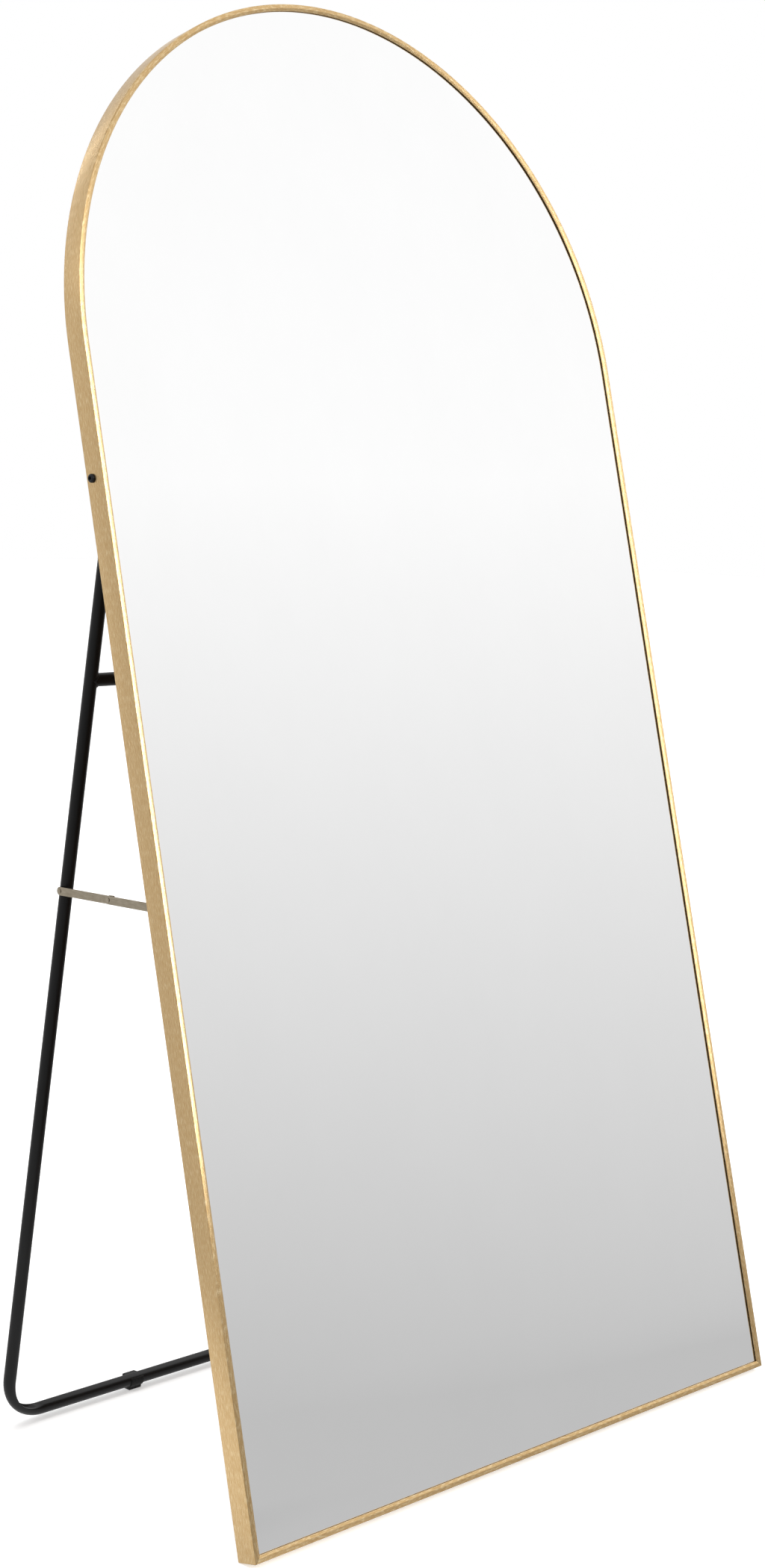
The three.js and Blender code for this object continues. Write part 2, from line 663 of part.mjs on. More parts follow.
function bracketScrew(step) {
  const seat = FRAME_DEPTH + BRACKET_THICKNESS + 2 * GAP;
  const profile = [
    [0, seat - SCREW_LENGTH],
    [SCREW_RADIUS * 0.4, seat - SCREW_LENGTH],
    [SCREW_RADIUS, seat - SCREW_LENGTH + 1.6],
    [SCREW_RADIUS, seat],
    [SCREW_HEAD_RADIUS, seat],
    [SCREW_HEAD_RADIUS, seat + SCREW_HEAD_HEIGHT * 0.4],
    [SCREW_HEAD_RADIUS * 0.72, seat + SCREW_HEAD_HEIGHT],
    [0, seat + SCREW_HEAD_HEIGHT],
  ];
  const crown = seat + SCREW_HEAD_HEIGHT;
  const screw = turnedAlongY(profile, 16);
  const slot = box([-1.6, crown - 0.9, -0.35], [1.6, crown + 1, 0.35]);
  const cross = box([-0.35, crown - 0.9, -1.6], [0.35, crown + 1, 1.6]);
  const x = WALL_OUTSIDE + EAR_SCREW_INSET;
  return cut(screw, slot, cross).translate(x, 0, STAY_ON_FRAME.y + step * EAR_SCREW_HEIGHT);
}

// A domed rivet head whose flat side is at x = face; it rises towards -X.
function domedHead(face, height) {
  const r = RIVET_HEAD_RADIUS;
  return [
    [0, face - height],
    [r * 0.55, face - height],
    [r * 0.85, face - height * 0.6],
    [r, face],
  ];
}

function legRivet() {
  return turnedAlongX([
    ...domedHead(LEG_LINK_FACE - LINK_THICKNESS - GAP, RIVET_HEAD_HEIGHT),
    [RIVET_RADIUS, LEG_LINK_FACE - LINK_THICKNESS - GAP],
    [RIVET_RADIUS, TUBE_OUTSIDE + 3],
    [0, TUBE_OUTSIDE + 3],
  ], 16);
}

// The middle rivet's head and shank turn with the frame link.
function middleRivet() {
  const seat = FRAME_LINK_FACE - LINK_THICKNESS - GAP;
  return turnedAlongX([
    ...domedHead(seat, RIVET_HEAD_HEIGHT),
    [RIVET_RADIUS, seat],
    [RIVET_RADIUS, FRAME_LINK_FACE],
    [0, FRAME_LINK_FACE],
  ], 16);
}

// Its upset end turns with the leg's link.
function middleRivetTail() {
  const seat = LEG_LINK_FACE + GAP;
  const end = seat + RIVET_TAIL_HEIGHT;
  return turnedAlongX([
    [0, LEG_LINK_FACE - LINK_THICKNESS],
    [RIVET_RADIUS, LEG_LINK_FACE - LINK_THICKNESS],
    [RIVET_RADIUS, seat],
    [RIVET_HEAD_RADIUS, seat],
    [RIVET_HEAD_RADIUS * 0.8, end],
    [0, end],
  ], 16);
}

function frameRivet() {
  const outer = BRACKET_FACE - BRACKET_THICKNESS - GAP;
  const inner = FRAME_LINK_FACE + GAP;
  return turnedAlongX([
    ...domedHead(outer, RIVET_HEAD_HEIGHT),
    [RIVET_RADIUS, outer],
    [RIVET_RADIUS, inner],
    [RIVET_HEAD_RADIUS, inner],
    [RIVET_HEAD_RADIUS * 0.8, inner + RIVET_TAIL_HEIGHT],
    [0, inner + RIVET_TAIL_HEIGHT],
  ], 16);
}

// The mirror, leaning back, with everything fixed to it. Its own Z runs up the glass.
const mirror = new THREE.Group();
mirror.rotation.x = -LEAN;
mirror.position.z = REST_LIFT;

piece(mirror, 'frame_arch_rail', archRail(), GOLD);
piece(mirror, 'frame_bottom_rail', bottomRail(), GOLD);
const glass = slabAlongY(
  archedOutline(PACK_INSET),
  GLASS_FRONT,
  GLASS_FRONT + GLASS_THICKNESS,
  ARCH_SEGMENTS,
);
piece(mirror, 'mirror_glass', glass, SILVERED);
const board = slabAlongY(
  archedOutline(PACK_INSET),
  BOARD_FRONT,
  BOARD_FRONT + BOARD_THICKNESS,
  ARCH_SEGMENTS,
);
piece(mirror, 'backing_board', board, BOARD);
pair(mirror, 'corner_key', cornerKey(), ZINC);
const sideScrew = setScrew().translate(WALL_OUTSIDE, CHANNEL_MIDDLE, KEY_SCREW_AT);
pair(mirror, 'corner_screw_side', sideScrew, BLACK_SCREW);
const bottomScrew = setScrew().rotateY(-Math.PI / 2);
bottomScrew.translate(WALL_OUTSIDE + KEY_SCREW_AT, CHANNEL_MIDDLE, 0);
pair(mirror, 'corner_screw_bottom', bottomScrew, BLACK_SCREW);

const spacer = turnedAlongX(ring(BOLT_HOLE, SPACER_RADIUS, WALL_INSIDE + GAP, TUBE_OUTSIDE - GAP));
const washer = turnedAlongX(ring(BOLT_HOLE, WASHER_RADIUS, WASHER_FACE, WASHER_FACE + WASHER_THICKNESS));
pair(mirror, 'pivot_bolt', pivotBolt().translate(0, PIVOT_DEPTH, PIVOT_HEIGHT), BLACK_SCREW);
pair(mirror, 'pivot_spacer', spacer.translate(0, PIVOT_DEPTH, PIVOT_HEIGHT), BLACK_PLASTIC);
pair(mirror, 'pivot_washer', washer.translate(0, PIVOT_DEPTH, PIVOT_HEIGHT), ZINC);
pair(mirror, 'pivot_nut', pivotNut().translate(0, PIVOT_DEPTH, PIVOT_HEIGHT), ZINC);

pair(mirror, 'stay_bracket', stayBracket(), NICKEL);
pair(mirror, 'bracket_screw_upper', bracketScrew(1), ZINC);
pair(mirror, 'bracket_screw_lower', bracketScrew(-1), ZINC);
pair(mirror, 'stay_frame_rivet', frameRivet().translate(0, STAY_ON_FRAME.x, STAY_ON_FRAME.y), NICKEL);

const frameLink = stayLink().rotateX(STAY_SLOPE);
frameLink.translate(FRAME_LINK_FACE - LINK_THICKNESS, STAY_ON_FRAME.x, STAY_ON_FRAME.y);
pair(mirror, 'stay_frame_link', frameLink, NICKEL);
pair(mirror, 'stay_middle_rivet', middleRivet().translate(0, STAY_MIDDLE.x, STAY_MIDDLE.y), NICKEL);

const legSideLink = legLink().rotateX(Math.PI + STAY_SLOPE);
legSideLink.translate(LEG_LINK_FACE - LINK_THICKNESS, STAY_ON_LEG.x, STAY_ON_LEG.y);
pair(mirror, 'stay_leg_link', legSideLink, NICKEL);
const tail = middleRivetTail().translate(0, STAY_MIDDLE.x, STAY_MIDDLE.y);
pair(mirror, 'stay_middle_rivet_tail', tail, NICKEL);

// The stand turns about the pivot bolts. Its own Z runs up the legs.
const stand = new THREE.Group();
stand.position.set(0, PIVOT_DEPTH, PIVOT_HEIGHT);
stand.rotation.x = LEG_ANGLE;
mirror.add(stand);

piece(stand, 'stand_tube', standTube(), BLACK_TUBE);
piece(stand, 'stand_cross_tube', crossTube(), BLACK_TUBE);
pair(stand, 'leg_end_plug', legEndPlug(), BLACK_PLASTIC);
pair(stand, 'leg_rivet', legRivet().translate(0, 0, -STAY_DROP), NICKEL);
const stayWasher = turnedAlongX(ring(
  RIVET_HOLE,
  STAY_WASHER_RADIUS,
  STAY_WASHER_FACE - STAY_WASHER_THICKNESS,
  STAY_WASHER_FACE,
), 16);
pair(stand, 'stay_washer', stayWasher.translate(0, 0, -STAY_DROP), ZINC);

// The clips are turned on the crossbar until they stand flat.
const clipGeometry = footClip().rotateX(LEAN - LEG_ANGLE).translate(-CLIP_X, 0, -STAND_LENGTH);
pair(stand, 'foot_clip', clipGeometry, BLACK_PLASTIC);

// The origin is on the floor, in the middle of the mirror's footprint.
const root = new THREE.Group();
root.add(mirror);
root.updateMatrixWorld(true);
const extent = new THREE.Box3().setFromObject(root, true);
root.position.y = -(extent.min.y + extent.max.y) / 2;
root.updateMatrixWorld(true);

export default root;
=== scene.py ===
"""A leaning arched floor mirror: fine shapes, materials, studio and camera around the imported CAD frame.

Sizes are in metres. Two spaces carry the shapes: the mirror's own (X right, Y back from the front lip,
Z up along the glass) and the stand's own (origin on the pivot bolts, Z up along the legs).
"""

import json
import math

import bmesh
import bpy
from mathutils import Matrix, Vector


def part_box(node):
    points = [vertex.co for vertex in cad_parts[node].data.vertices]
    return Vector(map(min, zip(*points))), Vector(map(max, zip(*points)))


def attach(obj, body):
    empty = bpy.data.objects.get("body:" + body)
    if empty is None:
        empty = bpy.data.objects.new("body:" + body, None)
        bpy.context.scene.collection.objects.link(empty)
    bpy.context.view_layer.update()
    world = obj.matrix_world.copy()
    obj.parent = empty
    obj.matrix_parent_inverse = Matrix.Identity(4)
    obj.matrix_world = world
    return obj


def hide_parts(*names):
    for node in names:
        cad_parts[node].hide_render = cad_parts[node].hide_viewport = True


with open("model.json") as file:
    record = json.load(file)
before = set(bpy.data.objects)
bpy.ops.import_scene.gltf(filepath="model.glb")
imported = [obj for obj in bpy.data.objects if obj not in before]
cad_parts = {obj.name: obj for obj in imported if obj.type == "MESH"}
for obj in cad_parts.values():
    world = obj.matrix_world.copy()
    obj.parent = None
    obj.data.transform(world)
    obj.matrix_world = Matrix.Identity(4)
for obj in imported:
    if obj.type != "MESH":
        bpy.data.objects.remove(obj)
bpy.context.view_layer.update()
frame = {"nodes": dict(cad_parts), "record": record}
nodes = frame["nodes"]

MM = 0.001

# ---------------------------------------------------------------- sizes shared by the pieces
LEAN = math.radians(14)
LEG_ANGLE = math.radians(23.25)

HALF_WIDTH = 457.2 * MM
SPRING_HEIGHT = 1371.6 * MM
FRAME_DEPTH = 30 * MM
PIVOT_DEPTH = 19.8 * MM
PIVOT_HEIGHT = 1216.7 * MM
GLASS_FRONT = 2.8 * MM
GLASS_BACK = 6.8 * MM
SILVER_LOOKS_DEEP = 0.8 * MM
PACK_INSET = 2.2 * MM
MITRE_GAP = 0.22 * MM
ARCH_STEPS = 180
CROSS_HALF_WIDTH = 0.35 * MM

TUBE_RADIUS = 8 * MM
TUBE_BORE = 6.8 * MM
LEG_X = 426 * MM
LEG_END_RADIUS = 9 * MM
BEND_RADIUS = 55 * MM
PINCH_RADIUS = 40.5 * MM
PINCH_OFFSET = 13 * MM
HOLLOW_DEPTH = 4.2 * MM
HOLLOW_HALF_WIDTH = 5.6 * MM
HOLLOW_TURN = math.radians(57)
HOLLOW_HALF_TURN = math.radians(30)
CROSS_TUBE_DROP = 237 * MM
STAY_DROP = 493.8 * MM

pivot_low, pivot_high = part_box("pivot_bolt_left")
PIVOT = Vector((0, (pivot_low.y + pivot_high.y) / 2, (pivot_low.z + pivot_high.z) / 2))
MIRROR = (
    Matrix.Translation(PIVOT)
    @ Matrix.Rotation(-LEAN, 4, "X")
    @ Matrix.Translation((0, -PIVOT_DEPTH, -PIVOT_HEIGHT))
)
STAND = Matrix.Translation(PIVOT) @ Matrix.Rotation(LEG_ANGLE - LEAN, 4, "X")

# The crossbar is the lowest part of the stand's tube.
bar_low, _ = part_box("stand_tube")
STAND_LENGTH = (PIVOT.z - TUBE_RADIUS - bar_low.z) / math.cos(LEG_ANGLE - LEAN)


# ---------------------------------------------------------------- mesh helpers
def mesh_object(name, points, faces, space=None, uvs=None, smooth_angle=32):
    mesh = bpy.data.meshes.new(name)
    mesh.from_pydata([tuple(p) for p in points], [], faces)
    if space is not None:
        mesh.transform(space)
    if uvs is not None:
        layer = mesh.uv_layers.new(name="along")
        for loop in mesh.loops:
            layer.data[loop.index].uv = uvs[loop.vertex_index]
    mesh.polygons.foreach_set("use_smooth", [True] * len(mesh.polygons))
    mesh.update()
    mesh.set_sharp_from_angle(angle=math.radians(smooth_angle))
    thing = bpy.data.objects.new(name, mesh)
    bpy.context.scene.collection.objects.link(thing)
    return thing


def loft(rings, closed=False):
    """Points and faces that join rings of equally many points. Its ends are capped, unless it is closed."""
    count = len(rings[0])
    points = [p for ring in rings for p in ring]
    faces = []
    last = len(rings) if closed else len(rings) - 1
    for r in range(last):
        near = r * count
        far = ((r + 1) % len(rings)) * count
        for i in range(count):
            j = (i + 1) % count
            faces.append((near + i, near + j, far + j, far + i))
    if not closed:
        faces.append(tuple(reversed(range(count))))
        faces.append(tuple(range((len(rings) - 1) * count, len(rings) * count)))
    return points, faces


def rounded(corners, steps=4):
    """A closed outline from (x, y, radius) corners, with an arc at each corner that has a radius."""
    outline = []
    total = len(corners)
    for i, (x, y, radius) in enumerate(corners):
        here = Vector((x, y))
        if radius <= 0:
            outline.append(here)
            continue
        before = (Vector(corners[i - 1][:2]) - here).normalized()
        after = (Vector(corners[(i + 1) % total][:2]) - here).normalized()
        half = before.angle(after) / 2
        reach = radius / math.tan(half)
        heart = here + (before + after).normalized() * (radius / math.sin(half))
        start = here + before * reach - heart
        sweep = (here + after * reach - heart).angle_signed(start)
        for k in range(steps + 1):
            turned = start.copy()
            turned.rotate(Matrix.Rotation(sweep * k / steps, 2))
            outline.append(heart + turned)
    return outline


def swept(name, section, stations, space):
    """Sweeps a section along (origin, across, back, distance) stations. UVs are metres along and around."""
    around = [0.0]
    for a, b in zip(section, section[1:]):
        around.append(around[-1] + (b - a).length)
    rings = []
    uvs = []
    for origin, across, back, distance in stations:
        rings.append([origin + across * p.x + back * p.y for p in section])
        uvs += [(distance, v) for v in around]
    points, faces = loft(rings)
    return mesh_object(name, points, faces, space, uvs)


def polar(radius, along, sides, shape="round"):
    """A ring about the X axis at x = along. A hexagon's radius is half its width across flats."""
    ring = []
    for i in range(sides):
        turn = 2 * math.pi * (i + 0.5) / sides
        reach = radius
        if shape == "hexagon":
            reach /= math.cos((turn + math.pi / 6) % (math.pi / 3) - math.pi / 6)
        if shape == "cross":
            from_arm = (turn + math.pi / 4) % (math.pi / 2) - math.pi / 4
            reach = min(radius, CROSS_HALF_WIDTH / max(abs(math.sin(from_arm)), 1e-3))
        ring.append(Vector((along, reach * math.cos(turn), reach * math.sin(turn))))
    return ring


def turned(name, profile, space, sides=48, closed=False):
    """A turned piece about X from (radius, x) profile points. A third part names another ring shape."""
    rings = [polar(max(p[0], 1e-5), p[1], sides, *p[2:]) for p in profile]
    points, faces = loft(rings, closed=closed)
    return mesh_object(name, points, faces, space)


def plate(name, outline, start, end, space, bevel):
    """An outline of (y, z) points made into a plate from x = start to x = end, with softened edges."""
    rings = [[Vector((x, y, z)) for y, z in outline] for x in (start, end)]
    points, faces = loft(rings)
    return soften(mesh_object(name, points, faces, space), bevel)


def soften(thing, width):
    modifier = thing.modifiers.new("softened edges", "BEVEL")
    modifier.width = width
    modifier.segments = 2
    modifier.limit_method = "ANGLE"
    modifier.angle_limit = math.radians(40)
    modifier.harden_normals = True
    return thing


def face_outwards(thing):
    """Turns the faces outwards where a shape was built the other way round."""
    work = bmesh.new()
    work.from_mesh(thing.data)
    bmesh.ops.recalc_face_normals(work, faces=work.faces)
    work.to_mesh(thing.data)
    work.free()
    return thing


def finish_piece(thing, body, slot, material, *replaced):
    face_outwards(thing)
    thing.data.materials.append(material)
    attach(thing, body)
    if replaced:
        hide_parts(*replaced)
    return thing


def arc(heart, radius, start, end, steps):
    """Points on an arc about heart = (y, z), with angles in degrees from +Y towards +Z."""
    points = []
    for i in range(steps + 1):
        turn = math.radians(start + (end - start) * i / steps)
        points.append((heart[0] + radius * math.cos(turn), heart[1] + radius * math.sin(turn)))
    return points


# ---------------------------------------------------------------- material helpers
def colour(code):
    """The linear colour of an sRGB hex code."""
    parts = [int(code[i : i + 2], 16) / 255 for i in (0, 2, 4)]
    linear = [p / 12.92 if p <= 0.04045 else ((p + 0.055) / 1.055) ** 2.4 for p in parts]
    return (*linear, 1.0)


class Web:
    """A few shorthands for the nodes of one tree."""

    def __init__(self, tree):
        self.tree = tree

    def add(self, kind, **settings):
        node = self.tree.nodes.new(kind)
        for key, value in settings.items():
            setattr(node, key, value)
        return node

    def feed(self, socket, value):
        """Gives a socket a plain value, or links it to another socket."""
        if isinstance(value, (int, float, tuple)):
            socket.default_value = value
        else:
            self.tree.links.new(value, socket)

    def maths(self, operation, a, b):
        node = self.add("ShaderNodeMath", operation=operation)
        self.feed(node.inputs[0], a)
        self.feed(node.inputs[1], b)
        return node.outputs["Value"]

    def slope(self, value, start, end, low, high, smooth=True):
        """Goes from low to high while the value goes from start to end."""
        kind = "SMOOTHSTEP" if smooth else "LINEAR"
        node = self.add("ShaderNodeMapRange", interpolation_type=kind)
        for name, number in (("From Min", start), ("From Max", end), ("To Min", low), ("To Max", high)):
            node.inputs[name].default_value = number
        self.feed(node.inputs["Value"], value)
        return node.outputs["Result"]

    def window(self, value, rise, fall):
        """1 between the two ranges, 0 outside them, and soft within them."""
        return self.maths("MULTIPLY", self.slope(value, *rise, 0, 1), self.slope(value, *fall, 1, 0))

    def towards(self, vector, direction):
        node = self.add("ShaderNodeVectorMath", operation="DOT_PRODUCT")
        self.feed(node.inputs[0], vector)
        node.inputs[1].default_value = direction
        return node.outputs["Value"]

    def away_from(self, vector, place):
        node = self.add("ShaderNodeVectorMath", operation="DISTANCE")
        self.feed(node.inputs[0], vector)
        node.inputs[1].default_value = place
        return node.outputs["Value"]


class Paint(Web):
    """A node material being put together around one principled shader."""

    def __init__(self, name, metallic=0.0, roughness=0.5, specular=0.5):
        self.material = bpy.data.materials.new(name)
        self.material.use_nodes = True
        super().__init__(self.material.node_tree)
        self.shader = self.tree.nodes["Principled BSDF"]
        self.shader.inputs["Metallic"].default_value = metallic
        self.shader.inputs["Roughness"].default_value = roughness
        self.shader.inputs["Specular IOR Level"].default_value = specular

    def stretched(self, source, stretch):
        mapping = self.add("ShaderNodeMapping")
        mapping.inputs["Scale"].default_value = stretch
        self.feed(mapping.inputs["Vector"], source)
        return mapping.outputs["Vector"]

    def coordinates(self, stretch=(1, 1, 1)):
        """The object's coordinates, in metres before the stretch."""
        return self.stretched(self.add("ShaderNodeTexCoord").outputs["Object"], stretch)

    def along(self, stretch):
        """Coordinates along and around a swept piece, in metres before the stretch."""
        return self.stretched(self.add("ShaderNodeUVMap", uv_map="along").outputs["UV"], stretch)

    def noise(self, vector, scale=1.0, detail=3.0, roughness=0.6):
        node = self.add("ShaderNodeTexNoise")
        node.inputs["Scale"].default_value = scale
        node.inputs["Detail"].default_value = detail
        node.inputs["Roughness"].default_value = roughness
        self.feed(node.inputs["Vector"], vector)
        return node.outputs["Fac"]

    def ramp(self, value, stops):
        node = self.add("ShaderNodeValToRGB")
        elements = node.color_ramp.elements
        while len(elements) < len(stops):
            elements.new(0.5)
        for element, (position, shade) in zip(elements, stops):
            element.position = position
            element.color = shade
        self.feed(node.inputs["Fac"], value)
        return node.outputs["Color"]

    def span(self, noise, low, high):
        """Maps the range that a noise mostly keeps to onto low to high."""
        return self.slope(noise, 0.25, 0.75, low, high, smooth=False)

    def mix(self, factor, a, b):
        node = self.add("ShaderNodeMix", data_type="RGBA")
        for socket, value in ((node.inputs["Factor"], factor), (node.inputs[6], a), (node.inputs[7], b)):
            self.feed(socket, value)
        return node.outputs[2]

    def bump(self, height, depth, strength=1.0):
        node = self.add("ShaderNodeBump")
        node.inputs["Distance"].default_value = depth
        node.inputs["Strength"].default_value = strength
        self.feed(node.inputs["Height"], height)
        self.set("Normal", node.outputs["Normal"])

    def set(self, socket, source):
        self.feed(self.shader.inputs[socket], source)


BLACK = (0, 0, 0, 1)
WHITE = (1, 1, 1, 1)


def gold_material():
    """Champagne anodised aluminium, brushed along its length, with short light flecks in the brushing."""
    paint = Paint("gold brushed aluminium", metallic=1.0)
    streaks = paint.noise(paint.along((26, 1500, 1)), detail=3.0, roughness=0.55)
    flecks = paint.noise(paint.along((120, 480, 1)), detail=2.0, roughness=0.55)
    drift = paint.noise(paint.coordinates(), scale=3.0, detail=2.0)
    tones = [(0.3, colour("c09b68")), (0.5, colour("d6b480")), (0.7, colour("e0bf8c"))]
    brushed = paint.ramp(streaks, tones)
    lit = paint.ramp(flecks, [(0.47, BLACK), (0.7, WHITE)])
    shade = paint.mix(lit, brushed, colour("f2d9ac"))
    paint.set("Base Color", paint.mix(paint.span(drift, 0.0, 0.25), shade, colour("cfad79")))
    paint.set("Roughness", paint.span(streaks, 0.23, 0.18))
    paint.shader.inputs["Anisotropic"].default_value = 1.0
    paint.shader.inputs["Anisotropic Rotation"].default_value = 0.25
    tangent = paint.add("ShaderNodeTangent", direction_type="UV_MAP", uv_map="along")
    paint.set("Tangent", tangent.outputs["Tangent"])
    paint.bump(streaks, 0.02 * MM, 0.5)
    return paint.material


def mirror_material():
    """Silvered glass: almost a perfect mirror, with the faintest haze of handling."""
    paint = Paint("silvered glass", metallic=1.0)
    haze = paint.noise(paint.coordinates(stretch=(7, 7, 5)), detail=5.0, roughness=0.7)
    paint.set("Base Color", paint.ramp(haze, [(0.3, (0.94, 0.94, 0.94, 1)), (0.7, (0.955, 0.955, 0.955, 1))]))
    paint.set("Roughness", paint.span(haze, 0.0, 0.012))
    return paint.material


def board_material():
    """Brown hardboard with pressed fibres and a faint mesh of light and dark."""
    paint = Paint("hardboard", roughness=0.8, specular=0.3)
    fibres = paint.noise(paint.coordinates(stretch=(420, 900, 900)), detail=5.0, roughness=0.75)
    clouds = paint.noise(paint.coordinates(), scale=9.0, detail=4.0)
    brown = paint.ramp(fibres, [(0.3, colour("5a4632")), (0.55, colour("7a6248")), (0.75, colour("93795b"))])
    paint.set("Base Color", paint.mix(paint.span(clouds, 0.0, 0.45), brown, colour("6b543d")))
    paint.set("Roughness", paint.span(fibres, 0.72, 0.9))
    paint.bump(fibres, 0.12 * MM, 0.6)
    return paint.material


def powder_coat_material():
    """Matt black powder coat with its fine orange peel."""
    paint = Paint("black powder coat", specular=0.24)
    peel = paint.noise(paint.coordinates(), scale=1500.0, detail=2.0)
    patches = paint.noise(paint.coordinates(), scale=14.0, detail=3.0)
    paint.set("Base Color", paint.ramp(patches, [(0.3, colour("0c0c0d")), (0.7, colour("131314"))]))
    paint.set("Roughness", paint.span(peel, 0.32, 0.44))
    paint.bump(peel, 0.05 * MM, 0.35)
    return paint.material


def plated_material(name, dark, light, roughness, stretch):
    """Plated steel: streaks of the rolled sheet under the plating and soft tarnish."""
    paint = Paint(name, metallic=1.0)
    streaks = paint.noise(paint.coordinates(stretch=stretch), detail=4.0, roughness=0.65)
    tarnish = paint.noise(paint.coordinates(), scale=90.0, detail=4.0)
    metal = paint.ramp(streaks, [(0.3, colour(dark)), (0.7, colour(light))])
    paint.set("Base Color", paint.mix(paint.span(tarnish, 0.0, 0.5), metal, colour(dark)))
    paint.set("Roughness", paint.span(tarnish, roughness, roughness + 0.14))
    paint.bump(streaks, 0.02 * MM, 0.5)
    return paint.material


def black_oxide_material():
    """Blackened screw steel, with its uneven thin film."""
    paint = Paint("black oxide", metallic=0.6, specular=0.5)
    film = paint.noise(paint.coordinates(), scale=420.0, detail=3.0)
    paint.set("Base Color", paint.ramp(film, [(0.3, colour("17171a")), (0.7, colour("2b2b2e"))]))
    paint.set("Roughness", paint.span(film, 0.28, 0.42))
    return paint.material


def black_plastic_material():
    """Moulded plastic with a fine eroded skin."""
    paint = Paint("black plastic", specular=0.25)
    skin = paint.noise(paint.coordinates(), scale=2600.0, detail=2.0)
    flow = paint.noise(paint.coordinates(), scale=60.0, detail=3.0)
    paint.set("Base Color", paint.ramp(flow, [(0.3, colour("0e0e0e")), (0.7, colour("171717"))]))
    paint.set("Roughness", paint.span(skin, 0.48, 0.66))
    paint.bump(skin, 0.03 * MM, 0.5)
    return paint.material


GOLD = gold_material()
SILVERED = mirror_material()
BOARD = board_material()
POWDER = powder_coat_material()
NICKEL = plated_material("satin nickel", "978c79", "c4b9a6", 0.3, (2200, 90, 2200))
ZINC = plated_material("zinc plate", "8d9092", "bcbfc0", 0.34, (700, 700, 700))
OXIDE = black_oxide_material()
PLASTIC = black_plastic_material()


# ---------------------------------------------------------------- frame
def frame_section():
    """x runs in from the outer face, y runs back from the front."""
    corners = [
        (0, 0, 0.8),
        (5.2, 0, 0.5),
        (8.2, 1.4, 0.35),
        (8.2, 2.5, 0.15),
        (1.6, 2.5, 0),
        (1.6, 9.8, 0),
        (8.2, 9.8, 0.2),
        (8.2, 12.8, 0.35),
        (7.0, 12.8, 0.35),
        (7.0, 11.0, 0),
        (1.6, 11.0, 0),
        (1.6, 28.6, 0),
        (7.0, 28.6, 0),
        (7.0, 26.8, 0.35),
        (8.2, 26.8, 0.35),
        (8.2, 30, 0.4),
        (0, 30, 0.8),
    ]
    return rounded([(x * MM, y * MM, r * MM) for x, y, r in corners])


def arch_stations():
    back = Vector((0, 1, 0))
    stations = [(Vector((-HALF_WIDTH, 0, MITRE_GAP)), Vector((1, 0, 1)), back, 0.0)]
    for i in range(ARCH_STEPS + 1):
        turn = math.pi * (1 - i / ARCH_STEPS)
        outward = Vector((math.cos(turn), 0, math.sin(turn)))
        origin = outward * HALF_WIDTH + Vector((0, 0, SPRING_HEIGHT))
        distance = SPRING_HEIGHT + HALF_WIDTH * (math.pi - turn)
        stations.append((origin, -outward, back, distance))
    end = 2 * SPRING_HEIGHT + HALF_WIDTH * math.pi
    stations.append((Vector((HALF_WIDTH, 0, MITRE_GAP)), Vector((-1, 0, 1)), back, end))
    return stations


def bottom_stations():
    back = Vector((0, 1, 0))
    reach = HALF_WIDTH - MITRE_GAP
    return [
        (Vector((reach, 0, 0)), Vector((-1, 0, 1)), back, 0.0),
        (Vector((-reach, 0, 0)), Vector((1, 0, 1)), back, 2 * reach),
    ]


def arched_outline(inset, steps):
    half = HALF_WIDTH - inset
    outline = [(half, inset)]
    for i in range(steps + 1):
        turn = math.pi * i / steps
        outline.append((half * math.cos(turn), SPRING_HEIGHT + half * math.sin(turn)))
    outline.append((-half, inset))
    return outline


def slab(name, outline, front, back, space):
    rings = [[Vector((x, y, z)) for x, z in outline] for y in (front, back)]
    points, faces = loft(rings)
    return mesh_object(name, points, faces, space)


arch = swept("frame_arch", frame_section(), arch_stations(), MIRROR)
finish_piece(arch, "mirror", "frame_metal", GOLD, "frame_arch_rail")
sill = swept("frame_sill", frame_section(), bottom_stations(), MIRROR)
finish_piece(sill, "mirror", "frame_metal", GOLD, "frame_bottom_rail")
# The silvering shows a little way behind the front of the glass.
silver_front = GLASS_FRONT + SILVER_LOOKS_DEEP
glass = slab("glass_sheet", arched_outline(PACK_INSET, ARCH_STEPS), silver_front, GLASS_BACK, MIRROR)
finish_piece(glass, "mirror", "mirror_glass", SILVERED, "mirror_glass")


# ---------------------------------------------------------------- stand
def circle(radius, sides=64):
    ring = []
    for i in range(sides):
        turn = 2 * math.pi * i / sides
        ring.append(Vector((radius * math.cos(turn), radius * math.sin(turn))))
    return ring


def stand_stations(bend_steps=48):
    """(origin, across, distance) down the left leg, across the floor and up the right leg."""
    bend_x = LEG_X - BEND_RADIUS
    bend_z = BEND_RADIUS - STAND_LENGTH
    leg = STAND_LENGTH - BEND_RADIUS
    stations = [(Vector((-LEG_X, 0, 0)), Vector((-1, 0, 0)), 0.0)]
    travelled = leg
    for side, heart_x in ((0, -bend_x), (1, bend_x)):
        for i in range(bend_steps + 1):
            turn = (side + i / bend_steps) * math.pi / 2
            across = Vector((-math.cos(turn), 0, -math.sin(turn)))
            origin = Vector((heart_x, 0, bend_z)) + across * BEND_RADIUS
            stations.append((origin, across, travelled + BEND_RADIUS * math.pi / 2 * i / bend_steps))
        travelled += BEND_RADIUS * math.pi / 2 + 2 * bend_x
    stations.append((Vector((LEG_X, 0, 0)), Vector((1, 0, 0)), travelled + leg))
    return stations


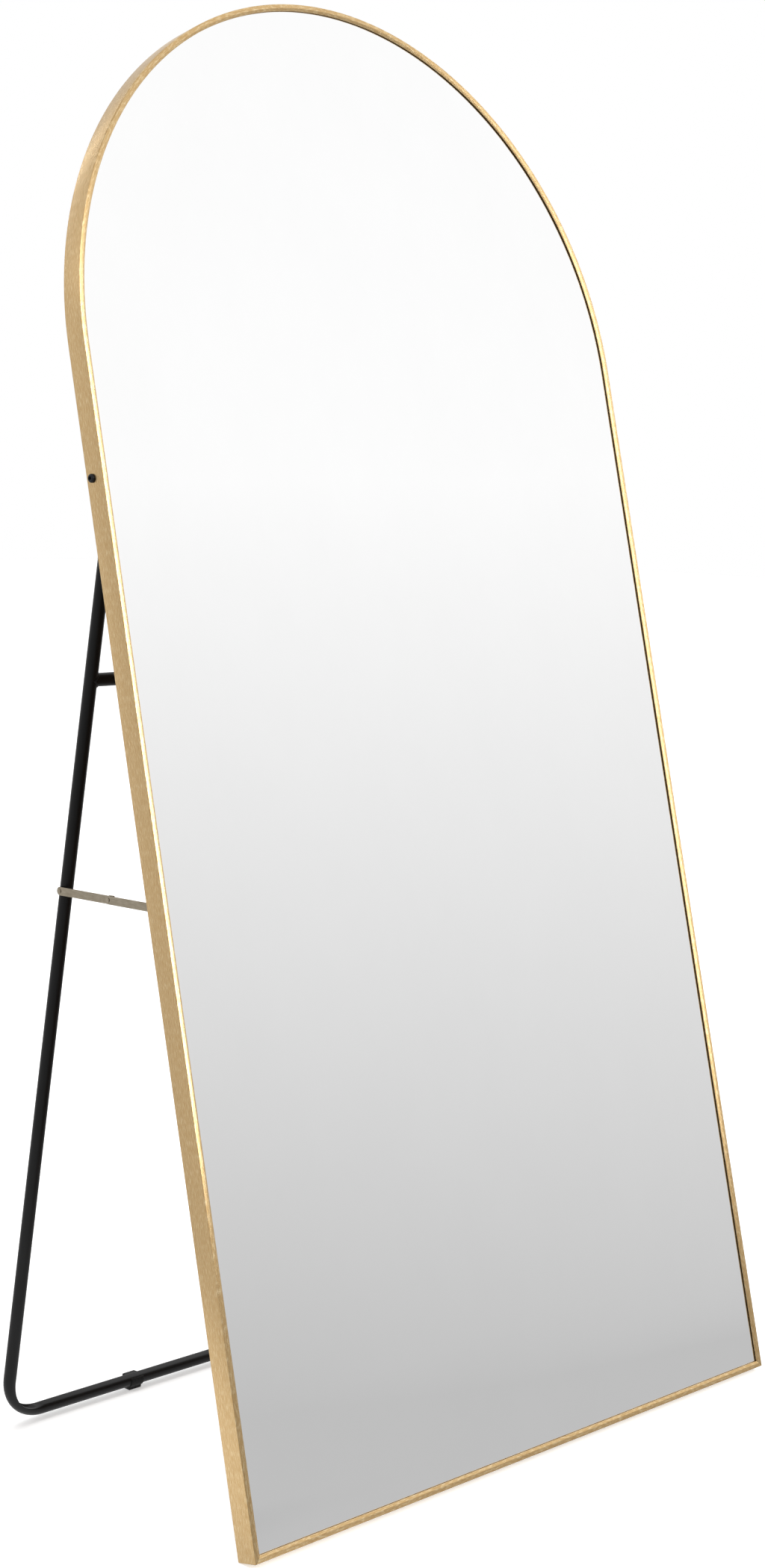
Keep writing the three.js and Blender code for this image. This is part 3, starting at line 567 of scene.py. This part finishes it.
def pinch(point, radius):
    """Presses the inner side of each bend out to a cylinder across the bend, with a hollow in its middle."""
    heart_x = LEG_X - BEND_RADIUS + PINCH_OFFSET / math.sqrt(2)
    heart_z = BEND_RADIUS - STAND_LENGTH - PINCH_OFFSET / math.sqrt(2)
    side = 1 if point.x > 0 else -1
    dx = point.x - side * heart_x
    dz = point.z - heart_z
    reach = math.hypot(dx, dz)
    blend = 0.9 * MM
    if reach > radius + 6 * blend or reach < radius / 2 or dz > radius / 2 or side * dx < -radius / 2:
        return point
    hollow = HOLLOW_DEPTH * max(0.0, 1 - abs(point.y / HOLLOW_HALF_WIDTH) ** 3)
    turn = math.atan2(-dz, side * dx) - HOLLOW_TURN
    hollow *= max(0.0, 1 - (turn / HOLLOW_HALF_TURN) ** 2)
    pressed = (reach + radius + math.hypot(reach - radius, blend)) / 2
    pressed += hollow * min(1.0, max(0.0, 1 - (reach - radius) / (3 * blend)))
    return Vector((side * heart_x + dx * pressed / reach, point.y, heart_z + dz * pressed / reach))


def tube_rings(radius, pinch_radius):
    back = Vector((0, 1, 0))
    rings = []
    uvs = []
    stations = stand_stations()
    for index, (origin, across, distance) in enumerate(stations):
        ring = [pinch(origin + across * p.x + back * p.y, pinch_radius) for p in circle(radius)]
        if index in (0, len(stations) - 1):
            ring = [Vector((p.x, p.y, math.sqrt(LEG_END_RADIUS**2 - p.y**2))) for p in ring]
        rings.append(ring)
        uvs += [(distance, radius * 2 * math.pi * i / len(ring)) for i in range(len(ring))]
    return rings, uvs


def stand_tube():
    outer, outer_uvs = tube_rings(TUBE_RADIUS, PINCH_RADIUS)
    inner, inner_uvs = tube_rings(TUBE_BORE, PINCH_RADIUS + TUBE_RADIUS - TUBE_BORE)
    rings = outer + inner[::-1]
    count = len(outer[0])
    starts = [r * count for r in reversed(range(len(inner)))]
    inner_uvs = [uv for start in starts for uv in inner_uvs[start : start + count]]
    points, faces = loft(rings, closed=True)
    tube = mesh_object("stand_loop", points, faces, STAND, outer_uvs + inner_uvs)
    return finish_piece(tube, "stand", "black_tube", POWDER, "stand_tube")


def cope(offset_y, radius):
    """How far along X the cross tube reaches at this height across the leg."""
    return LEG_X - math.sqrt(max(radius**2 - offset_y**2, 0))


def cross_tube():
    drop = Vector((0, 0, -CROSS_TUBE_DROP))
    rings = []
    for radius in (TUBE_RADIUS - 0.02 * MM, TUBE_BORE):
        pair = []
        for side in (-1, 1):
            ring = []
            for p in circle(radius):
                ring.append(Vector((side * cope(p.x, TUBE_RADIUS + 0.05 * MM), p.x, p.y)) + drop)
            pair.append(ring)
        rings += pair if radius != TUBE_BORE else pair[::-1]
    points, faces = loft(rings, closed=True)
    tube = mesh_object("cross_bar", points, faces, STAND)
    return finish_piece(tube, "stand", "black_tube", POWDER, "stand_cross_tube")


def weld_bead(side, steps=120, bead=1.5 * MM, ripples=26):
    """A rippled fillet of weld where the cross tube meets a leg."""
    rings = []
    for i in range(steps):
        turn = 2 * math.pi * i / steps
        out = Vector((0, math.cos(turn), math.sin(turn)))
        reach = side * cope(out.y * TUBE_RADIUS, TUBE_RADIUS)
        seat = Vector((reach, 0, -CROSS_TUBE_DROP)) + out * TUBE_RADIUS
        swell = bead * (1 + 0.14 * math.cos(ripples * turn) + 0.06 * math.cos(3 * turn + side))
        ring = []
        for k in range(10):
            spin = 2 * math.pi * k / 10
            inwards = Vector((-side * swell * math.cos(spin), 0, 0))
            ring.append(seat + inwards + out * swell * math.sin(spin) * 0.8)
        rings.append(ring)
    points, faces = loft(rings, closed=True)
    name = "weld_left" if side < 0 else "weld_right"
    bead_piece = mesh_object(name, points, faces, STAND, smooth_angle=80)
    return finish_piece(bead_piece, "stand", "black_tube", POWDER)


stand_tube()
cross_tube()
for weld_side in (-1, 1):
    weld_bead(weld_side)


# ---------------------------------------------------------------- foot clips
CLIP_INNER = 8.3 * MM
CLIP_OUTER = 9.6 * MM
CLIP_BACK = 12 * MM
CLIP_REAR_HEIGHT = 6 * MM
CLIP_SOLE_FRONT = -3.5 * MM
CLIP_HALF_WIDTH = 10 * MM
CLIP_END_ROUND = 1.1 * MM
CLIP_GROOVES = 7
RIB_PITCH = 2.5 * MM
RIB_HALF_GROOVE = 0.55 * MM
RIB_DEPTH = 0.5 * MM


def clip_outline(sole, sunk, drawn_in):
    """The clip seen along the crossbar. sunk moves its front in for a groove, drawn_in rounds its ends."""
    front_turn = math.degrees(math.acos(CLIP_SOLE_FRONT / CLIP_OUTER))
    rear_turn = math.degrees(math.asin(CLIP_REAR_HEIGHT / CLIP_INNER))
    edge = 1.1 * MM
    low = -sole + drawn_in
    back = CLIP_BACK - drawn_in
    high = CLIP_REAR_HEIGHT - drawn_in
    front = CLIP_SOLE_FRONT + drawn_in
    outline = arc((back - edge, high - edge), edge, 90, 0, 5)
    outline += arc((back - edge, low + edge), edge, 0, -90, 5)
    outline += arc((front + edge, low + edge), edge, -90, -180, 5)
    outline.append((front + sunk, low + 1.6 * edge))
    outer = CLIP_OUTER - drawn_in
    outline += arc((0, 0), outer - sunk, -front_turn, -195, 16)
    outline += arc((0, 0), outer - sunk * 0.3, -199, -203, 2)
    heart = (CLIP_INNER + outer) / 2
    tip = arc((0, 0), heart, -204, 0, 1)[0]
    outline += arc(tip, outer - heart, 156, -24, 6)[1:-1]
    outline += arc((0, 0), CLIP_INNER, -204, rear_turn, 48)
    return outline


def foot_clip(name):
    low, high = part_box(name)
    bar = STAND @ Vector((0, 0, -STAND_LENGTH))
    sole = bar.z - low.z
    middle = (low.x + high.x) / 2
    cuts = []
    for i in range(5):
        slant = math.radians(90 * i / 4)
        x = -CLIP_HALF_WIDTH + CLIP_END_ROUND * (1 - math.cos(slant))
        cuts.append((x, 0.0, CLIP_END_ROUND * (1 - math.sin(slant))))
    for i in range(CLIP_GROOVES):
        x = (i - (CLIP_GROOVES - 1) / 2) * RIB_PITCH
        for share, depth in ((-1, 0), (-0.7, 0.45), (-0.35, 0.95), (0.35, 0.95), (0.7, 0.45), (1, 0)):
            cuts.append((x + share * RIB_HALF_GROOVE, depth * RIB_DEPTH, 0.0))
    cuts += [(-x, sunk, drawn_in) for x, sunk, drawn_in in reversed(cuts[:5])]
    rings = [[Vector((x, y, z)) for y, z in clip_outline(sole, *cut)] for x, *cut in cuts]
    points, faces = loft(rings)
    place = Matrix.Translation((middle, bar.y, bar.z))
    clip = mesh_object(f"{name}_shell", points, faces, place, smooth_angle=50)
    return finish_piece(clip, "stand", "black_plastic", PLASTIC, name)


for side_name in ("left", "right"):
    foot_clip(f"foot_clip_{side_name}")


# ---------------------------------------------------------------- pivots, stays and brackets
SIDES = (("left", Matrix.Identity(4)), ("right", Matrix.Scale(-1, 4, (1, 0, 0))))
WALL_OUTSIDE = -457.2 * MM
TUBE_OUTSIDE = -434 * MM
LEG_LINK_OUTSIDE = -436.3 * MM
FRAME_LINK_OUTSIDE = -437.6 * MM
BRACKET_OUTSIDE = -439.4 * MM
LINK_THICKNESS = 1 * MM
LINK_HALF = 5 * MM
LUG_THICKNESS = 0.7 * MM
RIVET_RADIUS = 1.9 * MM
RIVET_HEAD = 2.7 * MM
RIVET_CROWN = 0.9 * MM
RIVET_TAIL = 0.6 * MM
SEAT_GAP = 0.3 * MM
PRESSED_EDGE = 0.22 * MM
LUG_START = 1.4 * MM
LUG_END = 9.8 * MM
BRACKET_THICKNESS = 1.5 * MM
EAR_EDGE = WALL_OUTSIDE + 2.2 * MM
EAR_SCREW = WALL_OUTSIDE + 5 * MM
EAR_NEAR = 9 * MM
EAR_FAR = 21 * MM
STAY_SLOPE = math.radians(12.2)
STAY_ARM = 93.499 * MM
STAY_ON_LEG = (
    PIVOT_DEPTH + STAY_DROP * math.sin(LEG_ANGLE),
    PIVOT_HEIGHT - STAY_DROP * math.cos(LEG_ANGLE),
)


def down_the_stay(arms):
    reach = STAY_ARM * arms
    return (STAY_ON_LEG[0] - reach * math.cos(STAY_SLOPE), STAY_ON_LEG[1] - reach * math.sin(STAY_SLOPE))


STAY_MIDDLE = down_the_stay(1)
STAY_ON_FRAME = down_the_stay(2)


def millimetres(*profile):
    return [(p[0] * MM, p[1] * MM, *p[2:]) for p in profile]


def dome(radius, base, height, steps=7):
    """Profile points of a domed head, from its crown out to its rim at x = base. It rises towards -X."""
    points = []
    for i in range(steps + 1):
        turn = math.radians(90 * i / steps)
        points.append((radius * math.sin(turn), base - height * math.cos(turn) ** 0.8))
    return points


def beside(side, y, z):
    """The mirror's space moved to (y, z), and mirrored for the right side."""
    return MIRROR @ side @ Matrix.Translation((0, y, z))


def threaded(radius, start, end, pitch, depth):
    profile = []
    x = start
    while x + pitch < end:
        profile += [(radius, x), (radius - depth, x + pitch / 2)]
        x += pitch
    return profile


def pivot(side_name, side):
    space = beside(side, PIVOT_DEPTH, PIVOT_HEIGHT)
    bolt = millimetres(
        (0, -458.8), (1.98, -458.8, "hexagon"), (2.0, -460.3, "hexagon"), (2.2, -460.6, "hexagon"),
        (2.75, -460.8), (3.4, -460.75), (4.1, -460.45), (4.7, -459.9), (5.08, -459.2),
        (5.22, -458.5), (5.25, -457.9), (5.15, -457.6), (4.9, -457.5), (2.95, -457.5),
    )
    bolt += threaded(2.95 * MM, -432 * MM, -408 * MM, 1 * MM, 0.5 * MM)
    bolt += millimetres((2.3, -407.3), (0, -407.2))
    thing = turned(f"pivot_screw_{side_name}", bolt, space)
    finish_piece(thing, "mirror", "black_screw", OXIDE, f"pivot_bolt_{side_name}")
    spacer = millimetres(
        (3.3, -455.0), (3.6, -455.3), (5.5, -455.3), (6.0, -454.8),
        (6.0, -434.8), (5.5, -434.3), (3.6, -434.3), (3.3, -434.6),
    )
    thing = turned(f"spacer_sleeve_{side_name}", spacer, space, closed=True)
    finish_piece(thing, "mirror", "black_plastic", PLASTIC, f"pivot_spacer_{side_name}")
    washer = millimetres(
        (3.3, -417.5), (3.5, -417.7), (5.7, -417.7), (6.0, -417.4),
        (6.0, -416.3), (5.8, -416.1), (3.4, -416.1), (3.3, -416.2),
    )
    thing = turned(f"washer_disc_{side_name}", washer, space, closed=True)
    finish_piece(thing, "mirror", "zinc", ZINC, f"pivot_washer_{side_name}")
    nut = millimetres(
        (3.3, -415.4), (3.7, -415.8), (4.6, -415.8), (5.0, -415.3, "hexagon"), (5.0, -411.7, "hexagon"),
        (4.6, -411.2), (4.3, -411.1), (4.3, -410.1), (4.0, -409.8), (3.6, -409.8), (3.35, -410.1),
    )
    thing = turned(f"lock_nut_{side_name}", nut, space, sides=72, closed=True)
    finish_piece(thing, "mirror", "zinc", ZINC, f"pivot_nut_{side_name}")


def link_outline(lug_top=None):
    """A link along +Y with round ends, and with a lug past its far end's rivet on the upper side."""
    far = arc((STAY_ARM, 0), LINK_HALF, -90, 90, 16)
    if lug_top is not None:
        start, end = (STAY_ARM + LUG_START, STAY_ARM + LUG_END)
        far = [(start, -LINK_HALF), (start, lug_top), (end, lug_top), (end, 0)]
        far.append((STAY_ARM + LINK_HALF, LINK_HALF))
    return far + arc((0, 0), LINK_HALF, 90, 270, 16)


def stay(side_name, side):
    space = beside(side, *STAY_ON_FRAME) @ Matrix.Rotation(STAY_SLOPE, 4, "X")
    outside = FRAME_LINK_OUTSIDE
    link = plate(
        f"frame_link_{side_name}", link_outline(), outside, outside + LINK_THICKNESS, space, PRESSED_EDGE
    )
    finish_piece(link, f"stay_frame_{side_name}", "nickel", NICKEL, f"stay_frame_link_{side_name}")

    space = beside(side, *STAY_ON_LEG) @ Matrix.Rotation(math.pi + STAY_SLOPE, 4, "X")
    top = -LINK_HALF - SEAT_GAP - LUG_THICKNESS
    outside = LEG_LINK_OUTSIDE
    link = plate(
        f"leg_link_{side_name}", link_outline(top), outside, outside + LINK_THICKNESS, space, PRESSED_EDGE
    )
    finish_piece(link, f"stay_leg_{side_name}", "nickel", NICKEL, f"stay_leg_link_{side_name}")
    bottom = top + LUG_THICKNESS
    corners = [(LUG_START, top), (LUG_END, top), (LUG_END, bottom), (LUG_START, bottom)]
    flap = rounded([(STAY_ARM + y, z, 0.2 * MM) for y, z in corners])
    inside = LEG_LINK_OUTSIDE + LINK_THICKNESS / 2
    flap = plate(f"leg_link_lug_{side_name}", flap, FRAME_LINK_OUTSIDE, inside, space, 0.15 * MM)
    finish_piece(flap, f"stay_leg_{side_name}", "nickel", NICKEL)


def upset_end(seat):
    """Profile points of a rivet's flattened tail."""
    end = seat + RIVET_TAIL
    waist = seat + RIVET_TAIL * 0.5
    return [(RIVET_HEAD, seat), (RIVET_HEAD * 0.97, waist), (RIVET_HEAD * 0.8, end), (0, end)]


def rivets(side_name, side):
    seat = FRAME_LINK_OUTSIDE - SEAT_GAP
    profile = dome(RIVET_HEAD, seat, RIVET_CROWN) + [(RIVET_RADIUS, seat), (RIVET_RADIUS, -436.6 * MM)]
    thing = turned(f"middle_rivet_{side_name}", profile, beside(side, *STAY_MIDDLE))
    finish_piece(thing, f"stay_frame_{side_name}", "nickel", NICKEL, f"stay_middle_rivet_{side_name}")

    seat = LEG_LINK_OUTSIDE + LINK_THICKNESS + SEAT_GAP
    profile = [(RIVET_RADIUS, LEG_LINK_OUTSIDE), (RIVET_RADIUS, seat)] + upset_end(seat)
    thing = turned(f"middle_rivet_upset_{side_name}", profile, beside(side, *STAY_MIDDLE))
    finish_piece(thing, f"stay_leg_{side_name}", "nickel", NICKEL, f"stay_middle_rivet_tail_{side_name}")

    seat = BRACKET_OUTSIDE - SEAT_GAP
    inner = -436.3 * MM
    profile = dome(RIVET_HEAD, seat, RIVET_CROWN) + [(RIVET_RADIUS, seat), (RIVET_RADIUS, inner)]
    profile += upset_end(inner)
    thing = turned(f"frame_rivet_{side_name}", profile, beside(side, *STAY_ON_FRAME))
    finish_piece(thing, "mirror", "nickel", NICKEL, f"stay_frame_rivet_{side_name}")

    space = STAND @ side @ Matrix.Translation((0, 0, -STAY_DROP))
    seat = LEG_LINK_OUTSIDE - SEAT_GAP
    profile = dome(RIVET_HEAD, seat, RIVET_CROWN)
    profile += [(RIVET_RADIUS, seat), (RIVET_RADIUS, TUBE_OUTSIDE + 3 * MM)]
    thing = turned(f"rivet_on_leg_{side_name}", profile, space)
    finish_piece(thing, "stand", "nickel", NICKEL, f"leg_rivet_{side_name}")
    washer = millimetres(
        (2.2, -434.9), (2.35, -435.0), (4.3, -435.0), (4.5, -434.85),
        (4.5, -434.45), (4.35, -434.3), (2.3, -434.3), (2.2, -434.4),
    )
    thing = turned(f"stay_washer_disc_{side_name}", washer, space, closed=True)
    finish_piece(thing, "stand", "zinc", ZINC, f"stay_washer_{side_name}")


def ear_screw_profile():
    """A flat pan head with a cross recess, standing out along +X from x = head, and its threaded shank."""
    head = FRAME_DEPTH + 2.1 * MM
    profile = [(r, head + x, *shape) for r, x, *shape in millimetres(
        (0, 0.5), (1.5, 0.5, "cross"), (1.6, 1.28, "cross"), (1.75, 1.3), (2.0, 1.22), (2.2, 1.0),
        (2.35, 0.65), (2.4, 0.3), (2.3, 0.0), (1.5, 0.0),
    )]
    shank = threaded(1.5 * MM, head + 0.6 * MM, head + 6.6 * MM, 0.7 * MM, 0.25 * MM)
    profile += [(r, 2 * head - x) for r, x in shank]
    return profile + [(0.5 * MM, head - 7.8 * MM), (0, head - 7.9 * MM)]


def bracket(side_name, side):
    y, z = STAY_ON_FRAME
    seat = FRAME_DEPTH + SEAT_GAP
    back = seat + BRACKET_THICKNESS
    lobe = 6.5 * MM
    root = seat - 2 * MM
    rise = math.degrees(math.acos((back - y) / lobe))
    outline = arc((y, z), lobe, -rise, rise, 20)
    outline += [(back, z + EAR_FAR), (root, z + EAR_FAR), (y - lobe, z + EAR_NEAR)]
    outline += [(y - lobe, z - EAR_NEAR), (root, z - EAR_FAR), (back, z - EAR_FAR)]
    space = MIRROR @ side
    inside = BRACKET_OUTSIDE + BRACKET_THICKNESS
    cheek = plate(f"bracket_{side_name}", outline, BRACKET_OUTSIDE, inside, space, 0.25 * MM)
    finish_piece(cheek, "mirror", "nickel", NICKEL, f"stay_bracket_{side_name}")
    for step, level in ((-1, "lower"), (1, "upper")):
        near = z + step * EAR_NEAR
        far = z + step * EAR_FAR
        root_x = BRACKET_OUTSIDE + 0.2 * MM
        outline = rounded([
            (EAR_EDGE, near, 1.2 * MM), (root_x, near, 0), (root_x, far, 0), (EAR_EDGE, far, 1.2 * MM),
        ])
        ear = slab(f"bracket_ear_{level}_{side_name}", outline, seat, back, space)
        finish_piece(soften(ear, 0.2 * MM), "mirror", "nickel", NICKEL)
        middle = z + step * (EAR_NEAR + EAR_FAR) / 2
        place = Matrix.Translation((EAR_SCREW, 0, middle)) @ Matrix.Rotation(math.pi / 2, 4, "Z")
        thing = turned(f"ear_screw_{level}_{side_name}", ear_screw_profile(), space @ place, sides=64)
        finish_piece(thing, "mirror", "zinc", ZINC, f"bracket_screw_{level}_{side_name}")


for side_name, side in SIDES:
    pivot(side_name, side)
    stay(side_name, side)
    rivets(side_name, side)
    bracket(side_name, side)


# ---------------------------------------------------------------- materials of the CAD pieces that stay
SLOT_MATERIALS = {
    "frame_metal": GOLD,
    "mirror_glass": SILVERED,
    "backing_board": BOARD,
    "black_tube": POWDER,
    "nickel": NICKEL,
    "zinc": ZINC,
    "black_screw": OXIDE,
    "black_plastic": PLASTIC,
}
for entry in frame["record"]["subparts"]:
    kept = nodes[entry["node"]]
    kept.data.materials.clear()
    kept.data.materials.append(SLOT_MATERIALS[entry["material_slot"]])


# ---------------------------------------------------------------- studio
FLOOR_SIZE = 40
FLOOR_WHITE = 0.8
FLOOR_GLOW = 0.45
FLOOR_IN_GLOSS = 0.548
FLOOR_FADE = 0.15
FRONT_SHADE = 0.18
FOOT_GLOW = 0.52
REAR_FLOOR_GLOW = 0.18

# Glow seen in reflections: its strength at the horizon, its growth with height, and its slant to the right.
HORIZON_GLOW = 0.6
GLOW_PER_RADIAN = 1.23
GLOW_SLANT = 0.32 * math.sqrt(0.5)

# Directions that the lit and dark places of the studio lie in.
FRONT = (-0.35, -0.937, 0)
LEFT = (-1, -0.3, 0)
REAR_LEFT = (-0.7, 0.7, 0)
REAR_HIGH = (0, 0.85, 0.52)

SCREEN_GLOW = 6.8
STRIP_GLOW = 2.6
REAR_GLOW = 0.14
REAR_HIGH_SHADE = 0.22
CEILING_SHADE = 0.7


def sine(degrees):
    return math.sin(math.radians(degrees))


def studio_floor():
    """A pale floor. In reflections it glows evenly, dimmer to the front left and brighter behind."""
    bpy.ops.mesh.primitive_grid_add(x_subdivisions=2, y_subdivisions=2, size=FLOOR_SIZE)
    floor = bpy.context.object
    floor.name = "studio_floor"
    paint = Paint("studio floor", roughness=0.9, specular=0.0)
    paint.shader.inputs["Base Color"].default_value = (FLOOR_WHITE, FLOOR_WHITE, FLOOR_WHITE, 1)
    rays = paint.add("ShaderNodeLightPath")
    glow = paint.add("ShaderNodeEmission")
    paint.feed(glow.inputs["Strength"], paint.maths("MULTIPLY", rays.outputs["Is Camera Ray"], FLOOR_GLOW))
    both = paint.add("ShaderNodeAddShader")
    paint.feed(both.inputs[0], paint.shader.outputs[0])
    paint.feed(both.inputs[1], glow.outputs[0])

    place = paint.add("ShaderNodeTexCoord").outputs["Object"]
    distance = paint.away_from(place, (0, 0, 0))
    slant = GLOW_SLANT * GLOW_PER_RADIAN
    slanted = paint.maths("DIVIDE", paint.towards(place, (slant, slant, 0)), paint.maths("ADD", distance, 2))
    faded = paint.maths("SUBTRACT", slanted, paint.maths("DIVIDE", FLOOR_FADE, distance))
    even = paint.maths("MAXIMUM", paint.maths("ADD", HORIZON_GLOW, faded), FLOOR_IN_GLOSS)
    in_front = paint.slope(paint.towards(place, FRONT), 0.6, 1.6, 0, 1)
    leftwards = paint.slope(paint.towards(place, LEFT), -0.2, 0.5, 0, FRONT_SHADE)
    even = paint.maths("SUBTRACT", even, paint.maths("MULTIPLY", in_front, leftwards))
    rear = paint.slope(paint.towards(place, (-0.66, 0.75, 0)), 0.5, 1.3, 0, REAR_FLOOR_GLOW)
    behind = paint.slope(paint.towards(place, (0, 1, 0)), -0.45, -0.2, 0, 1)
    foot = paint.slope(paint.away_from(place, (-0.6, 0.1, 0)), 0.05, 0.75, FOOT_GLOW, 0)
    lit = paint.maths("ADD", paint.maths("ADD", even, rear), paint.maths("MULTIPLY", behind, foot))
    reflected = paint.add("ShaderNodeEmission")
    paint.feed(reflected.inputs["Strength"], lit)

    choice = paint.add("ShaderNodeMixShader")
    paint.feed(choice.inputs["Fac"], rays.outputs["Is Glossy Ray"])
    paint.feed(choice.inputs[1], both.outputs[0])
    paint.feed(choice.inputs[2], reflected.outputs[0])
    paint.feed(paint.tree.nodes["Material Output"].inputs["Surface"], choice.outputs[0])
    floor.data.materials.append(paint.material)


def studio_world():
    """White where the camera looks. Elsewhere the light grows with the height above the horizon, with a lit
    screen low to the front right, a dimmer strip straight ahead and a dark ceiling above them."""
    world = bpy.data.worlds.new("studio")
    bpy.context.scene.world = world
    world.use_nodes = True
    world.node_tree.nodes.clear()
    web = Web(world.node_tree)
    direction = web.add("ShaderNodeTexCoord").outputs["Generated"]
    up = web.towards(direction, (0, 0, 1))
    low, high = (HORIZON_GLOW + math.radians(degrees) * GLOW_PER_RADIAN for degrees in (-4, 20))
    slanted = web.towards(direction, (GLOW_SLANT, GLOW_SLANT, 1))
    glow = web.slope(slanted, sine(-4), sine(20), low, high, smooth=False)

    front = web.towards(direction, FRONT)
    ceiling = web.slope(front, 0.1, 0.5, 0, CEILING_SHADE)
    ceiling = web.maths("MULTIPLY", ceiling, web.slope(up, sine(36), sine(50), 0, 1))
    glow = web.maths("MULTIPLY", glow, web.maths("SUBTRACT", 1.0, ceiling))
    rear_high = web.slope(web.towards(direction, REAR_HIGH), 0.7, 0.95, 0, REAR_HIGH_SHADE)
    glow = web.maths("SUBTRACT", glow, rear_high)

    # The tangent of the angle to the right of straight ahead.
    forward = web.maths("MAXIMUM", web.towards(direction, (0, -1, 0)), 0.05)
    aside = web.maths("DIVIDE", web.towards(direction, (1, 0, 0)), forward)
    screen = web.window(aside, (0.26, 0.42), (0.64, 0.75))
    screen = web.maths("MULTIPLY", screen, web.window(up, (sine(6), sine(8.2)), (sine(24), sine(36))))
    strip = web.window(aside, (-0.25, -0.08), (0.1, 0.26))
    strip = web.maths("MULTIPLY", strip, web.window(up, (sine(4), sine(12)), (sine(40), sine(60))))
    rear = web.slope(web.towards(direction, REAR_LEFT), 0.3, 0.9, 0, 1)
    rear = web.maths("MULTIPLY", rear, web.slope(up, sine(2), sine(9), 1, 0))
    for place, strength in ((screen, SCREEN_GLOW), (strip, STRIP_GLOW), (rear, REAR_GLOW)):
        glow = web.maths("ADD", glow, web.maths("MULTIPLY", place, strength))

    rays = web.add("ShaderNodeLightPath")
    seen = web.add("ShaderNodeMix", data_type="FLOAT")
    web.feed(seen.inputs["Factor"], rays.outputs["Is Camera Ray"])
    web.feed(seen.inputs["A"], glow)
    web.feed(seen.inputs["B"], 1.0)
    sky = web.add("ShaderNodeBackground")
    sky.inputs["Color"].default_value = WHITE
    web.feed(sky.inputs["Strength"], seen.outputs["Result"])
    web.feed(web.add("ShaderNodeOutputWorld").inputs["Surface"], sky.outputs[0])


def softbox(name, place, target, size, power):
    """A square lamp that isn't seen in reflections."""
    lamp = bpy.data.lights.new(name, "AREA")
    lamp.shape = "SQUARE"
    lamp.size = size
    lamp.energy = power
    holder = bpy.data.objects.new(name, lamp)
    holder.location = place
    holder.rotation_euler = (Vector(target) - Vector(place)).to_track_quat("-Z", "Y").to_euler()
    holder.visible_glossy = False
    bpy.context.scene.collection.objects.link(holder)


studio_floor()
studio_world()
softbox("key", (2.6, -3.4, 3.2), (0, 0.1, 0.9), 2.4, 90)
softbox("top", (-0.6, 0.6, 4.2), (0, 0.1, 0.6), 3.0, 60)

# ---------------------------------------------------------------- camera
CAMERA_PLACE = Vector((-2.19355, -2.17538, 1.21315))
CAMERA_RIGHT = Vector((0.71234487, -0.70137225, 0.02533271))
CAMERA_UP = Vector((0.05659759, 0.09338582, 0.99402002))
FOCAL_PIXELS = 3304.875
FRAME_PIXELS = (1024, 2100)
AXIS_ROW = 967.517

camera = bpy.data.cameras.new("camera")
camera.sensor_width = 36
camera.lens = FOCAL_PIXELS * camera.sensor_width / max(FRAME_PIXELS)
camera.shift_y = (AXIS_ROW - FRAME_PIXELS[1] / 2) / max(FRAME_PIXELS)
camera.clip_end = 100
camera_holder = bpy.data.objects.new("camera", camera)
axes = Matrix((CAMERA_RIGHT, CAMERA_UP, CAMERA_RIGHT.cross(CAMERA_UP))).transposed()
camera_holder.matrix_world = Matrix.Translation(CAMERA_PLACE) @ axes.to_4x4()
bpy.context.scene.collection.objects.link(camera_holder)
bpy.context.scene.camera = camera_holder
bpy.context.scene.view_settings.view_transform = "Standard"

bpy.context.view_layer.update()
